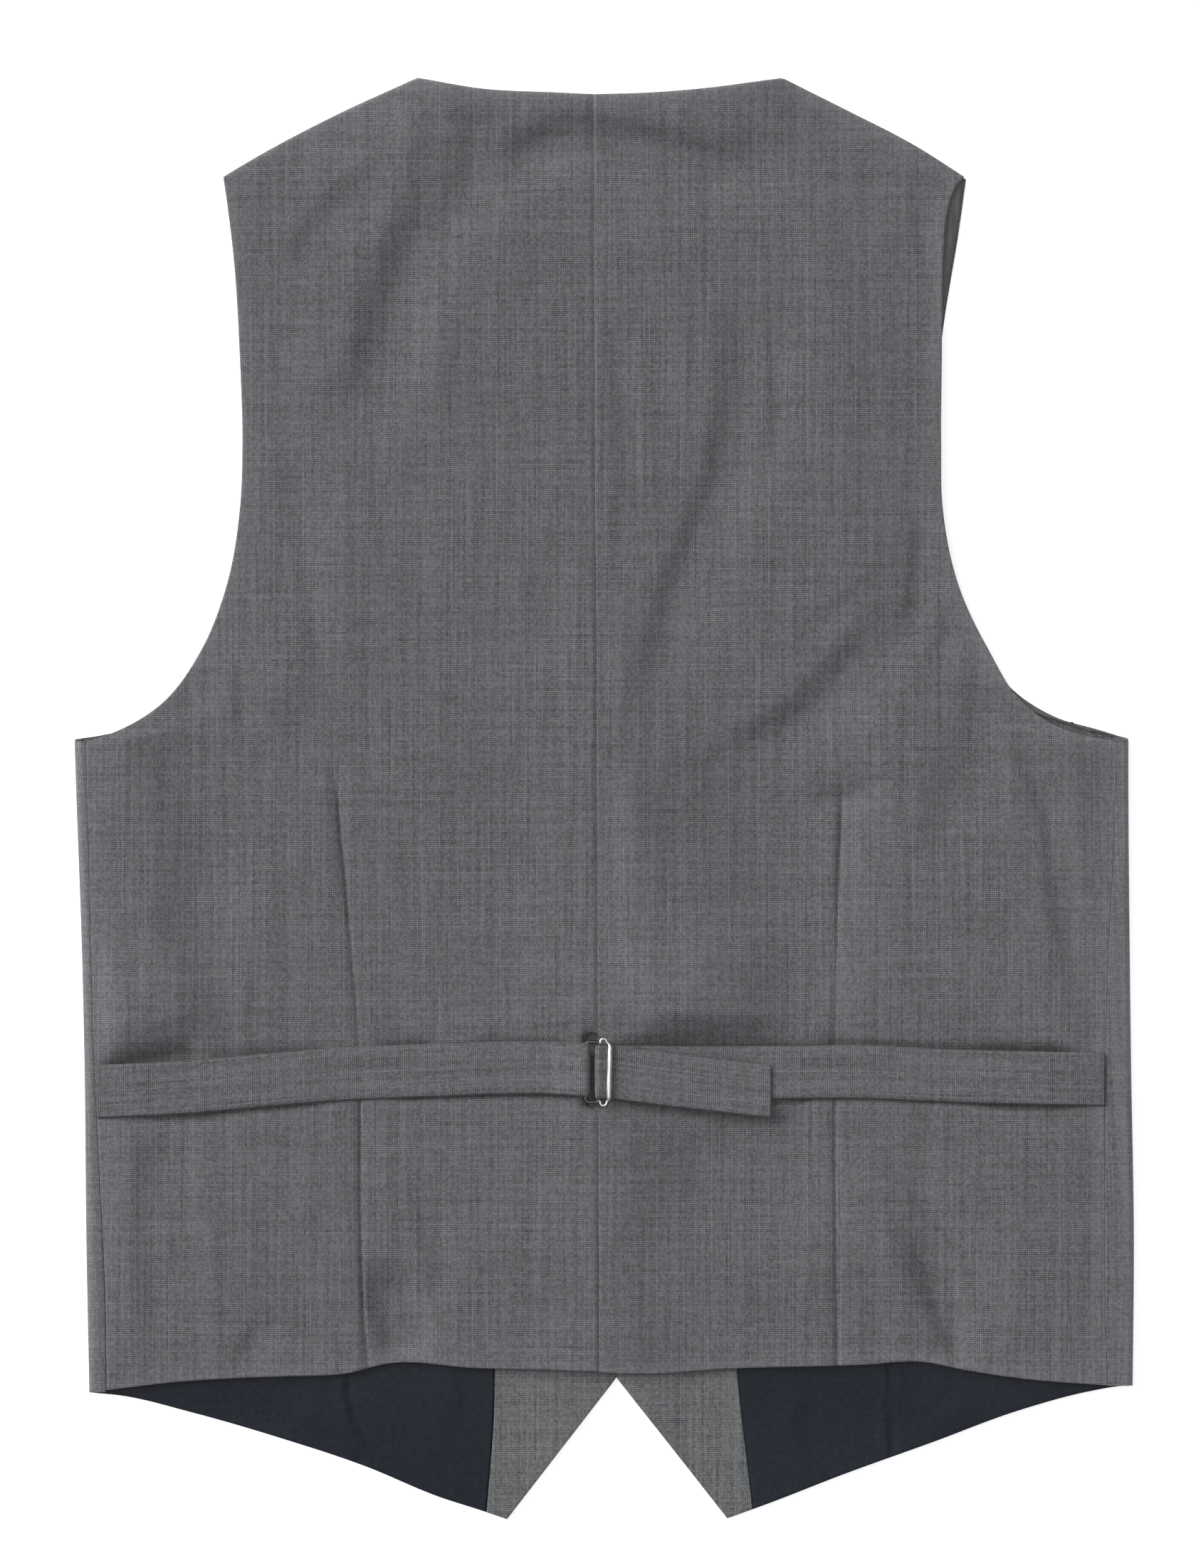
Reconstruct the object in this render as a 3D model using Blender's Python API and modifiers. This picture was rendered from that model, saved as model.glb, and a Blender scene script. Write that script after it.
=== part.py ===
"""Single-breasted suit waistcoat, laid on its front with its back up.

Run it with: blender --background --python part.py

Sizes are in millimetres and are turned to metres where a mesh is made. +X is
to the right of someone looking down at the back, +Y runs to the neck and +Z is
up. The origin is on the surface that the garment lies on, below its middle.
Each front is one cloth: it lies on the surface, rolls up round the side fold
and ends at the side seam on top, where the back half begins.
"""
import math
from collections import namedtuple

import bmesh
import bpy
import numpy as np

MM = 0.001
SIGN = {"left": -1, "right": 1}

# Cloth walls and the gap kept between pieces that meet.
FRONT_WALL = 1.0
FACING_WALL = 1.0
BACK_WALL = 1.2
STRAP_WALL = 1.0
GAP = 0.3

# The side fold is a half turn of cloth from the surface to the top.
FOLD_RADIUS = 3.2
FOLD_STEPS = 6
LEAST_COLUMN = 2.5

# Heights of the back's upper face: over the body, and where its edges settle.
BACK_LEVEL = 5.6
RIM_LEVEL = {"hem": 4.4, "armhole": 4.4, "shoulder": 4.0, "neck": 3.6, "side": 2 * FOLD_RADIUS}
RIM_REACH = {"hem": 32, "armhole": 36, "top": 42, "side": 22}

# The back rides up over the lapped front edges and their buttons.
CENTRE_RISE = 1.9
CENTRE_RISE_REACH = 50
CENTRE_RISE_TOP = 40
CENTRE_RISE_FADE = 80
HEM_RISE = 2.6
HEM_RISE_REACH = 44

# Closure: buttons on a raised ridge of the fronts, and how far the fronts lap.
BUTTON_DIAMETER = 15
BUTTON_THICKNESS = 2.5
BUTTON_LINE = 5
BUTTON_TOP = 35
BUTTON_SPACING = 60
BUTTON_COUNT = 5
BUTTON_SIDES = 20
RIDGE_HEIGHT = BUTTON_THICKNESS + GAP
RIDGE_ACROSS = ((-20, 0), (-10, 1), (20, 1), (40, 0))
RIDGE_ALONG = ((-240, 0), (-215, 1), (45, 1), (75, 0))
LAP_ACROSS = ((20, 1), (40, 0))
LAP_ALONG = ((95, 1), (140, 0))
LAP_ON_FACING = ((-240, 1), (-215, 0))
LAP_GAP = 0.5

# Waist belt and its wire slide.
WIRE_RADIUS = 0.8
BAR_RADIUS = 0.9
HOOK_RADIUS = 0.5
FRAME_LEFT = -8.5
FRAME_RIGHT = -2.2
BAR_X = 2.9
TURN_RADIUS = WIRE_RADIUS + GAP + STRAP_WALL / 2
FRAME_BEND = 1.2
SEAT_LEFT = -5
SEAT_RIGHT = 2
BAR_RISE = 1.9
BAR_INSET = 2.6
BAR_LEAN = 0.4
HOOK_TURN = 1.2
HOOK_CENTRE = -0.4
HOOK_OPENING = 190
HOOK_ANGLE = 30
HOOK_STEPS = 6

# The straps: where the left one's loop starts and ends, and how the right one's tail lies.
LOOP_START = -40
LOOP_RISE = ((-38, 0), (-26, 1))
LOOP_BULGE = 1.0
LOOP_NECK = -15
LOOP_END = (-16, -24)
LOOP_LIFT = 0.1
TAIL_START = (24, 12, 4)
TAIL_STATIONS = (6, 15)
TAIL_END = 76
TAIL_DROP = 8.6
TAIL_LIFT = 0.2
TAIL_LIFT_DROP = 2

# Distances outward from the middle plane, for the wearer's left and right.
Level = namedtuple("Level", "y left right")
SIDE_FOLD = (
    Level(-270, 235.2, 241.4),
    Level(-204, 236.5, 242.0),
    Level(-120, 237.4, 240.7),
    Level(-61, 238.8, 240.0),
    Level(4, 241.2, 239.5),
    Level(30, 242.0, 239.5),
)
SIDE_SEAM = (
    Level(-270, 227.0, 229.6),
    Level(-230, 227.4, 228.4),
    Level(-168, 230.2, 228.3),
    Level(-122, 232.4, 228.6),
    Level(-71, 233.9, 229.9),
    Level(-33, 234.8, 231.8),
    Level(26, 236.4, 234.3),
)
BACK_ARMHOLE = (
    Level(26, 236.4, 234.3),
    Level(28, 230.0, 223.0),
    Level(31.5, 221.0, 210.0),
    Level(43.5, 202.0, 191.5),
    Level(69, 183.4, 175.0),
    Level(95, 173.1, 162.7),
    Level(134, 166.2, 154.5),
    Level(160, 165.2, 153.9),
    Level(200, 166.3, 154.2),
    Level(250, 169.5, 155.3),
    Level(284, 174.0, 161.0),
)
FRONT_ARMHOLE = (
    Level(28.5, 232.0, 235.8),
    Level(31.5, 219.0, 226.0),
    Level(37, 208.0, 207.0),
    Level(50, 193.5, 186.5),
    Level(69, 181.0, 172.0),
    Level(95, 170.7, 159.5),
    Level(134, 163.7, 151.2),
    Level(170, 163.0, 150.8),
    Level(212, 164.5, 154.6),
    Level(262, 169.0, 162.5),
    Level(283, 171.5, 165.4),
)
CENTRE_SEAM = (Level(-262, 2.4, -2.4), Level(322, 4.7, -4.7))
NECK = (
    Level(321.6, 4.7, -4.7),
    Level(322.4, 22.0, 21.0),
    Level(324.2, 56.0, 44.0),
    Level(329.2, 85.3, 81.5),
)
SHOULDER = (
    Level(329.2, 85.3, 81.5),
    Level(314.5, 118.0, 111.0),
    Level(297.5, 151.0, 143.5),
    Level(284, 174.0, 161.0),
)

# Hems, by distance outward: height of the edge on each side.
Hem = namedtuple("Hem", "outward left right")
BACK_HEM = (
    Hem(-5, -261.5, -261.6),
    Hem(18, -261.0, -262.6),
    Hem(60, -260.0, -260.2),
    Hem(98, -257.9, -259.2),
    Hem(118, -262.6, -258.6),
    Hem(145, -263.8, -257.2),
    Hem(165, -264.5, -261.0),
    Hem(192, -266.1, -265.0),
    Hem(232, -270.6, -268.0),
)
FRONT_HEM = (
    Hem(44, -329.5, -333.0),
    Hem(56, -325.4, -329.0),
    Hem(75, -319.3, -322.2),
    Hem(109, -305.2, -309.0),
    Hem(150, -291.6, -294.2),
    Hem(188, -280.6, -280.1),
    Hem(222, -272.6, -270.8),
    Hem(236, -271.4, -268.4),
    Hem(256, -270.6, -268.0),
)

# Front edges: from the point of the hem up to the neck point of the shoulder.
Station = namedtuple("Station", "name y left right steps")
FRONT_EDGE = (
    Station("point", -329.4, 44.4, 56.2, 0),
    Station("notch", -264.6, -5.7, 5.7, 4),
    Station("lap", -240, -17.5, -7.5, 2),
    Station("lap ridge", -215, -20.0, -10.0, 1),
    Station("break", 45, -20.0, -10.0, 7),
    Station("neckline turn", 62, -15.0, -3.0, 4),
    Station("neckline", 180, 30.0, 36.0, 5),
    Station("neck point", 327.5, 83.5, 79.5, 7),
)
OUTER_LEVELS = {"notch": -256, "lap": -240, "lap ridge": -215, "break": 26}
FACING_LINE = (
    Level(-329.4, 53.7, 67.8),
    Level(-291, 50.6, 63.3),
    Level(-262, 50.0, 60.8),
    Level(-240, 50.0, 60.0),
    Level(45, 50.0, 60.0),
    Level(180, 78.0, 84.0),
    Level(327.5, 118.0, 113.0),
)
FACING_STEPS = 7
LINING_STEPS = 4
CORNER_STEPS = 4
LAP_ROWS = 6

# Rows of the back halves: heights at the centre seam and at the outer edge.
BackRow = namedtuple("BackRow", "name centre left right steps")
BACK_ROWS = (
    BackRow("hem", -261.5, -270.3, -267.8, 0),
    BackRow("belt below", -136.2, -146.0, -140.3, 6),
    BackRow("belt middle", -123.9, -133.8, -128.2, 1),
    BackRow("belt above", -111.6, -121.6, -116.1, 1),
    BackRow("underarm", 26, 26, 26, 7),
)
ARMHOLE_STEPS = 13
TOP_BOW_FADE = 1.5
NECK_COLUMNS = 7
SHOULDER_COLUMNS = 7

# Large soft folds of the back: a line between two ends, its half width and depth.
Fold = namedtuple("Fold", "name x0 y0 x1 y1 reach depth")
FOLDS = (
    Fold("below the neck", -40, 300, 60, 292, 24, -1.6),
    Fold("left shoulder drag", -74, 312, -118, 180, 24, -1.6),
    Fold("right of centre, high", 62, 238, 40, 128, 24, -1.5),
    Fold("right of centre, low", 40, 128, 20, 40, 20, -0.9),
    Fold("right underarm drag", 132, 92, 52, 26, 26, -1.7),
    Fold("right side", 170, 52, 152, -30, 26, -1.2),
    Fold("right side, low", 186, 40, 216, -96, 20, 1.3),
    Fold("left side hollow", -178, 62, -198, -100, 26, -2.0),
    Fold("left side ridge", -216, -60, -206, -104, 18, 1.2),
    Fold("above the belt, right", 22, -98, 96, -94, 20, 1.6),
    Fold("lower right", 130, -164, 158, -214, 20, -1.4),
    Fold("lower right hem", 130, -190, 156, -256, 20, -1.2),
    Fold("lower left hem", -102, -216, -98, -256, 22, -1.5),
)

Finish = namedtuple("Finish", "name colour roughness metallic")
SUITING = Finish("suiting", (0.130, 0.133, 0.138), 0.85, 0.0)
FACING = Finish("suiting_inside", (0.138, 0.141, 0.146), 0.85, 0.0)
LINING = Finish("lining", (0.023, 0.026, 0.034), 0.45, 0.0)
SLEEVE_LINING = Finish("armhole_lining", (0.105, 0.108, 0.098), 0.4, 0.0)
NICKEL = Finish("nickel", (0.80, 0.79, 0.77), 0.2, 1.0)
HORN = Finish("horn", (0.030, 0.028, 0.027), 0.35, 0.0)


def follow(known, values, at):
    """A smooth line through the known values, read at a place or places."""
    known, values = np.asarray(known, float), np.asarray(values, float)
    at = np.clip(np.asarray(at, float), known[0], known[-1])
    slope = np.gradient(values, known) if len(known) > 2 else np.full(2, np.ptp(values) / np.ptp(known))
    if len(known) == 2 and values[1] < values[0]:
        slope = -slope
    k = np.clip(np.searchsorted(known, at, "right") - 1, 0, len(known) - 2)
    span = known[k + 1] - known[k]
    t = (at - known[k]) / span
    blend = t * t * (3 - 2 * t)
    return (values[k] * (1 - blend) + values[k + 1] * blend
            + span * t * (1 - t) * ((1 - t) * slope[k] - t * slope[k + 1]))


def reading(table, side, y):
    """The outward distance that a table gives on one side at height y."""
    return follow([row.y for row in table], [getattr(row, side) for row in table], y)


def hem_height(table, side, outward):
    """The height of a hem at a distance outward."""
    return follow([row.outward for row in table], [getattr(row, side) for row in table], outward)


def even(points, steps):
    """Points at even spacing along a smooth line through the given points."""
    points = np.array(points, float)
    along = np.insert(np.cumsum(np.hypot(*np.diff(points, axis=0).T)), 0, 0)
    fine = np.linspace(0, along[-1], 40 * steps + 1)
    line = np.column_stack([follow(along, points[:, axis], fine) for axis in (0, 1)])
    run = np.insert(np.cumsum(np.hypot(*np.diff(line, axis=0).T)), 0, 0)
    wanted = np.linspace(0, run[-1], steps + 1)
    return np.column_stack([np.interp(wanted, run, line[:, axis]) for axis in (0, 1)])


def corners(table, side):
    """The rows of a table as points (outward, y)."""
    return [(getattr(row, side), row.y) for row in table]


def ease(t):
    """A soft step from 0 to 1."""
    t = np.clip(t, 0, 1)
    return t * t * (3 - 2 * t)


def fold_relief(x, y):
    """The height that the soft folds add to the back."""
    total = 0.0
    for fold in FOLDS:
        run = np.array((fold.x1 - fold.x0, fold.y1 - fold.y0), float)
        length = math.hypot(*run)
        run /= length
        along = (x - fold.x0) * run[0] + (y - fold.y0) * run[1]
        across = (y - fold.y0) * run[0] - (x - fold.x0) * run[1]
        beyond = max(-along, along - length, 0)
        total += fold.depth * (1 - ease(math.hypot(across, beyond) / fold.reach))
    return total


def back_outer_edge(side):
    """The outer edge of a back half: side seam, armhole and shoulder tip."""
    points = []
    for low, high in zip(BACK_ROWS, BACK_ROWS[1:]):
        for y in np.linspace(getattr(low, side), getattr(high, side), high.steps + 1)[:-1]:
            points.append((float(reading(SIDE_SEAM, side, y)), float(y)))
    return np.array(points + list(even(corners(BACK_ARMHOLE, side), ARMHOLE_STEPS)))


def back_inner_edge(side):
    """The centre seam edge of a back half, half a gap off the seam line."""
    heights = []
    for low, high in zip(BACK_ROWS, BACK_ROWS[1:]):
        heights += list(np.linspace(low.centre, high.centre, high.steps + 1)[:-1])
    heights += list(np.linspace(BACK_ROWS[-1].centre, NECK[0].y, ARMHOLE_STEPS + 1))
    return np.array([(float(reading(CENTRE_SEAM, side, y)) + GAP / 2, y) for y in heights])


def top_edge(side):
    """The neck and shoulder edge: distances outward and heights, column by column."""
    neck = even(corners(NECK, side), NECK_COLUMNS)
    shoulder = even(corners(SHOULDER, side), SHOULDER_COLUMNS)
    return np.array(list(neck) + list(shoulder[1:]))


def centre_rise(x, y):
    """The height that the lapped fronts below give to the back."""
    across = 1 - ease(abs(x - BUTTON_LINE) / CENTRE_RISE_REACH)
    return CENTRE_RISE * across * (1 - ease((y - CENTRE_RISE_TOP) / CENTRE_RISE_FADE))


def back_height(x, y, rims):
    """The height of the back's upper face, settled towards the levels of its rims.

    rims holds a (level, distance, reach) for each edge of the panel.
    """
    pulls = [1 - ease(distance / reach) for _, distance, reach in rims]
    free = math.prod(1 - pull for pull in pulls)
    level = BACK_LEVEL + (fold_relief(x, y) + centre_rise(x, y)) * free
    if free < 1:
        settled = sum(rim[0] * pull for rim, pull in zip(rims, pulls)) / sum(pulls)
        level += (settled - BACK_LEVEL) * (1 - free)
    return level


def back_grid(side):
    """Rows of points (x, y, z) over a back half, from hem to shoulder."""
    inner, outer, top = back_inner_edge(side), back_outer_edge(side), top_edge(side)
    top[0] = inner[-1]
    shares = (top[:, 0] - top[0, 0]) / (top[-1, 0] - top[0, 0])
    top_bow = top[:, 1] - (top[0, 1] + shares * (top[-1, 1] - top[0, 1]))
    hem_run = inner[0, 0] + shares * (outer[0, 0] - inner[0, 0])
    hem_bow = hem_height(BACK_HEM, side, hem_run) - (inner[0, 1] + shares * (outer[0, 1] - inner[0, 1]))
    hem_rows = BACK_ROWS[1].steps
    side_rows = sum(row.steps for row in BACK_ROWS)
    grid = []
    for i, (a, b) in enumerate(zip(inner, outer)):
        low = max(0.0, 1 - i / hem_rows)
        high = max(0.0, (i - side_rows) / ARMHOLE_STEPS)
        armhole = ease((i - side_rows) / 2)
        edge_level = RIM_LEVEL["side"] + (RIM_LEVEL["armhole"] - RIM_LEVEL["side"]) * armhole
        edge_reach = RIM_REACH["side"] + (RIM_REACH["armhole"] - RIM_REACH["side"]) * armhole
        from_top = (len(inner) - 1 - i) * (inner[-1, 1] - inner[side_rows, 1]) / ARMHOLE_STEPS
        row = []
        for share, up, down in zip(shares, top_bow, hem_bow):
            outward, y = a + (b - a) * share
            y += up * high ** TOP_BOW_FADE + down * low
            x = SIGN[side] * outward
            top_level = RIM_LEVEL["neck"] if share < shares[NECK_COLUMNS] else RIM_LEVEL["shoulder"]
            hem_level = RIM_LEVEL["hem"] + HEM_RISE * (1 - ease(abs(x - BUTTON_LINE) / HEM_RISE_REACH))
            rims = (
                (edge_level, b[0] - outward, edge_reach),
                (top_level, from_top, RIM_REACH["top"]),
                (hem_level, y - hem_height(BACK_HEM, side, outward), RIM_REACH["hem"]),
            )
            row.append((x, y, back_height(x, y, rims)))
        grid.append(row)
    return np.array(grid)


def ramp(table, at):
    """Straight runs between the pairs of a table, read at a place."""
    places, shares = zip(*table)
    return np.interp(at, places, shares)


def ridge(x, y):
    """How far the front edges are lifted over the buttons."""
    return RIDGE_HEIGHT * ramp(RIDGE_ACROSS, x) * ramp(RIDGE_ALONG, y)


def lap(x, y):
    """How far the right front is lifted where it lies over the left one."""
    over_facing = ramp(LAP_ON_FACING, y) * (FACING_WALL + GAP)
    return ramp(LAP_ACROSS, x) * ramp(LAP_ALONG, y) * (FRONT_WALL + LAP_GAP + over_facing)


def roll(side, run, y):
    """Place a point of the unrolled front: on the surface, round the fold, or on top."""
    start = reading(SIDE_FOLD, side, y) - FOLD_RADIUS
    turn = (run - start) / FOLD_RADIUS
    if turn <= 0:
        x = SIGN[side] * run
        lift = ridge(x, y) + (lap(x, y) if side == "right" else 0)
        return (x, y, lift)
    if turn >= math.pi:
        back = run - start - math.pi * FOLD_RADIUS
        return (SIGN[side] * (start - back), y, 2 * FOLD_RADIUS)
    outward = start + FOLD_RADIUS * math.sin(turn)
    return (SIGN[side] * outward, y, FOLD_RADIUS * (1 - math.cos(turn)))


def seam_run(side, y):
    """The unrolled distance of the side seam, less the gap at the seam."""
    start = reading(SIDE_FOLD, side, y) - FOLD_RADIUS
    return start + math.pi * FOLD_RADIUS + (start - reading(SIDE_SEAM, side, y)) - GAP


def front_inner_edge(side):
    """The front edge of an unrolled front, from the hem point to the neck point."""
    points = [(getattr(FRONT_EDGE[0], side), FRONT_EDGE[0].y)]
    for low, high in zip(FRONT_EDGE, FRONT_EDGE[1:]):
        for t in np.linspace(0, 1, high.steps + 1)[1:]:
            outward = getattr(low, side) * (1 - t) + getattr(high, side) * t
            points.append((outward, low.y * (1 - t) + high.y * t))
    return np.array(points)


def front_outer_edge(side):
    """The outer edge of an unrolled front: side seam, round the fold, then the armhole."""
    heights = [FRONT_HEM[-1].left if side == "left" else FRONT_HEM[-1].right]
    for row in FRONT_EDGE[1:5]:
        heights += list(np.linspace(heights[-1], OUTER_LEVELS[row.name], row.steps + 1)[1:])
    points = [(float(seam_run(side, y)), y) for y in heights]
    armhole = corners(FRONT_ARMHOLE, side)
    corner = np.linspace(points[-1], armhole[0], CORNER_STEPS + 1)[1:]
    rows = sum(row.steps for row in FRONT_EDGE[6:])
    return np.array(points + list(corner) + list(even(armhole, rows)[1:]))


def front_grid(side):
    """Rows of points (x, y, z) of a front's outer face, from hem to shoulder."""
    inner, outer = front_inner_edge(side), front_outer_edge(side)
    hem_rows = FRONT_EDGE[1].steps
    grid = []
    for i, (a, b) in enumerate(zip(inner, outer)):
        start = reading(SIDE_FOLD, side, b[1]) - FOLD_RADIUS
        seam = max(LEAST_COLUMN, start - reading(SIDE_SEAM, side, b[1]))
        rim = [seam + math.pi * FOLD_RADIUS * (1 - k / FOLD_STEPS) for k in range(FOLD_STEPS + 1)]
        facing = reading(FACING_LINE, side, a[1])
        runs = list(np.linspace(a[0], facing, FACING_STEPS + 1))
        runs += list(np.linspace(facing, b[0] - rim[0], LINING_STEPS + 1)[1:])
        runs += [b[0] - reach for reach in rim[1:]] + [b[0]]
        row = []
        for run in runs:
            share = (run - a[0]) / (b[0] - a[0])
            y = a[1] + share * (b[1] - a[1])
            if i < hem_rows:
                first = inner[0] + share * (outer[0] - inner[0])
                bow = hem_height(FRONT_HEM, side, first[0]) - first[1]
                y += bow * (1 - i / hem_rows)
            row.append(roll(side, run, y))
        grid.append(row)
    return np.array(grid)


def finish(obj, look):
    """Give an object a material of its own."""
    material = bpy.data.materials.new(f"{obj.name}_{look.name}")
    material.use_nodes = True
    shader = material.node_tree.nodes["Principled BSDF"]
    shader.inputs["Base Color"].default_value = (*look.colour, 1)
    shader.inputs["Roughness"].default_value = look.roughness
    shader.inputs["Metallic"].default_value = look.metallic
    obj.data.materials.append(material)


def show(name, data, look, collection):
    """Make an object of some data, with its finish."""
    obj = bpy.data.objects.new(name, data)
    collection.objects.link(obj)
    finish(obj, look)
    return obj


def sheet(name, grid, wall, outward, look, collection, offset=-1):
    """A wall of cloth: an open surface through a grid of points, thickened.

    outward is the direction (0, 0, 1) or (0, 0, -1) that the surface's first
    faces look; the wall is laid behind them, or both ways with offset 0.
    """
    mesh = bpy.data.meshes.new(name)
    bm = bmesh.new()
    verts = [[bm.verts.new(np.array(point) * MM) for point in row] for row in grid]
    for low, high in zip(verts, verts[1:]):
        for a, b, c, d in zip(low, low[1:], high[1:], high):
            bm.faces.new((a, b, c, d))
    bmesh.ops.triangulate(bm, faces=bm.faces[:])
    bm.normal_update()
    if bm.faces[:][0].normal.z * outward < 0:
        bmesh.ops.reverse_faces(bm, faces=bm.faces[:])
    bm.to_mesh(mesh)
    bm.free()
    obj = show(name, mesh, look, collection)
    thick = obj.modifiers.new("wall", "SOLIDIFY")
    thick.thickness = wall * MM
    thick.offset = offset
    return obj


def toward(edge, inner, distance):
    """The move that takes an edge's points some distance towards the next points in."""
    run = inner - edge
    return run * (distance / np.linalg.norm(run[:, :2], axis=1, keepdims=True))


def lifted(grid, rows, columns, rise, inset):
    """Part of a panel's grid, drawn in at its rim and moved up to lie on the panel."""
    part = grid[rows, columns].copy()
    for edge, inner in ((0, 1), (-1, -2)):
        part[edge] += toward(part[edge], part[inner], inset)
        part[:, edge] += toward(part[:, edge], part[:, inner], inset)
    part[:, :, 2] += rise
    return part


def belt_rows(grid):
    """The three rows of a back half that carry the belt, lowest first."""
    low = BACK_ROWS[1].steps
    return [grid[low + k] for k in range(3)]


def on_row(row, x):
    """The point of a back's row at a given x."""
    row = row[np.argsort(row[:, 0])]
    return np.array((x, np.interp(x, row[:, 0], row[:, 1]), np.interp(x, row[:, 0], row[:, 2])))


def turn(centre, first, last, steps):
    """Stations (x, lift) of a strap turning round a wire, between two angles."""
    lift = GAP + STRAP_WALL / 2 + TURN_RADIUS
    angles = [math.radians(first + (last - first) * k / steps) for k in range(steps + 1)]
    return [(centre + TURN_RADIUS * math.cos(a), lift + TURN_RADIUS * math.sin(a)) for a in angles]


def left_strap(grid, collection):
    """The left strap: from the side seam along the back and round the frame."""
    lower = GAP + STRAP_WALL / 2
    upper = lower + STRAP_WALL + GAP
    rows = belt_rows(grid)
    stops = [(float(p[0]), lower) for p in rows[1][:1:-1] if p[0] < LOOP_START]
    stops += [(x, lower + (upper + LOOP_LIFT - lower) * share) for x, share in LOOP_RISE]
    stops += [(LOOP_NECK, upper + LOOP_BULGE)]
    stops += turn(FRAME_LEFT, 90, -90, 6) + [(x, lower) for x in LOOP_END]
    points = np.array([[on_row(row, x) + (0, 0, lift) for x, lift in stops] for row in rows])
    points[:, 0] += toward(points[:, 0], points[:, 1], GAP)
    sheet("strap_left", points, STRAP_WALL, 1, SUITING, collection, offset=0)


def right_strap(grid, collection):
    """The right strap: from the side seam, round the frame and back as the tail."""
    lower = GAP + STRAP_WALL / 2
    tail = lower + STRAP_WALL + GAP
    rows = belt_rows(grid)
    stops = [(float(p[0]), lower, 0) for p in rows[1][:1:-1] if p[0] > TAIL_START[0]]
    stops += [(x, lower, 0) for x in TAIL_START[1:]]
    stops += [(x, lift, 0) for x, lift in turn(FRAME_RIGHT, -90, -315, 7)]
    between = [float(p[0]) for p in rows[1] if TAIL_START[0] < p[0] < TAIL_END]
    for x in (BAR_X, *TAIL_STATIONS, *between, TAIL_END):
        drop = TAIL_DROP * (x - BAR_X) / (TAIL_END - BAR_X)
        stops.append((x, tail + TAIL_LIFT * ease(drop / TAIL_LIFT_DROP), drop))
    points = []
    for row in rows:
        line = []
        for x, lift, drop in stops:
            across = on_row(rows[0], x) - on_row(rows[2], x)
            slope = across[2] / abs(across[1])
            line.append(on_row(row, x) + (0, -drop, lift + slope * drop))
        points.append(line)
    points = np.array(points)
    points[:, 0] += toward(points[:, 0], points[:, 1], GAP)
    sheet("strap_right", points, STRAP_WALL, 1, SUITING, collection, offset=0)


def wire(name, points, radii, closed, look, collection):
    """A wire: a round section swept along a run of points."""
    data = bpy.data.curves.new(name, "CURVE")
    data.dimensions = "3D"
    data.bevel_depth = MM
    data.bevel_resolution = 2
    data.use_fill_caps = not closed
    line = data.splines.new("POLY")
    line.points.add(len(points) - 1)
    for knot, point, radius in zip(line.points, points, radii):
        knot.co = (*(np.array(point) * MM), 1)
        knot.radius = radius
    line.use_cyclic_u = closed
    return show(name, data, look, collection)


def rounded(corner_list, radius, steps):
    """A closed rectangle's points with round corners, from its corner centres."""
    points = []
    for k, (x, y) in enumerate(corner_list):
        for j in range(steps + 1):
            a = math.radians(90 * k + 90 * j / steps)
            points.append((x + radius * math.cos(a), y + radius * math.sin(a)))
    return points


def buckle(left_rows, right_rows, collection):
    """The slide: a wire frame that the straps turn round, and the bar that grips."""
    seat = max(on_row(right_rows[1], SEAT_RIGHT)[2], on_row(left_rows[1], SEAT_LEFT)[2])
    top = on_row(right_rows[2], 0)[1] + WIRE_RADIUS + 2 * GAP
    bottom = on_row(right_rows[0], 0)[1] - WIRE_RADIUS - 2 * GAP
    height = seat + GAP + STRAP_WALL / 2 + TURN_RADIUS
    left, right = FRAME_LEFT + FRAME_BEND, FRAME_RIGHT - FRAME_BEND
    high, low = top - FRAME_BEND, bottom + FRAME_BEND
    spots = [(right, high), (left, high), (left, low), (right, low)]
    frame = [(x, y, height) for x, y in rounded(spots, FRAME_BEND, 3)]
    wire("buckle_frame", frame, [WIRE_RADIUS] * len(frame), True, NICKEL, collection)
    bar_height = height + BAR_RISE
    upper = []
    for k in range(HOOK_STEPS + 1):
        a = math.radians(HOOK_OPENING - HOOK_ANGLE * k)
        upper.append((HOOK_CENTRE + HOOK_TURN * math.cos(a), top + HOOK_TURN * math.sin(a), bar_height))
    upper_end = (BAR_X, top - BAR_INSET, bar_height)
    lower = [(x, top + bottom - y, z) for x, y, z in reversed(upper)]
    lower_end = (BAR_X - BAR_LEAN, bottom + BAR_INSET, bar_height)
    route = upper + [upper_end, lower_end] + lower
    radii = [HOOK_RADIUS] * len(upper) + [BAR_RADIUS] * 2 + [HOOK_RADIUS] * len(lower)
    wire("buckle_bar", route, radii, False, NICKEL, collection)


def button(name, y, collection):
    """A sew-through button, lying face down below the front edge."""
    mesh = bpy.data.meshes.new(name)
    bm = bmesh.new()
    radius = BUTTON_DIAMETER / 2 * MM
    bmesh.ops.create_cone(bm, cap_ends=True, segments=BUTTON_SIDES, radius1=radius, radius2=radius,
                          depth=BUTTON_THICKNESS * MM)
    bm.to_mesh(mesh)
    bm.free()
    obj = show(name, mesh, HORN, collection)
    obj.location = (BUTTON_LINE * MM, y * MM, BUTTON_THICKNESS / 2 * MM)


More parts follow.
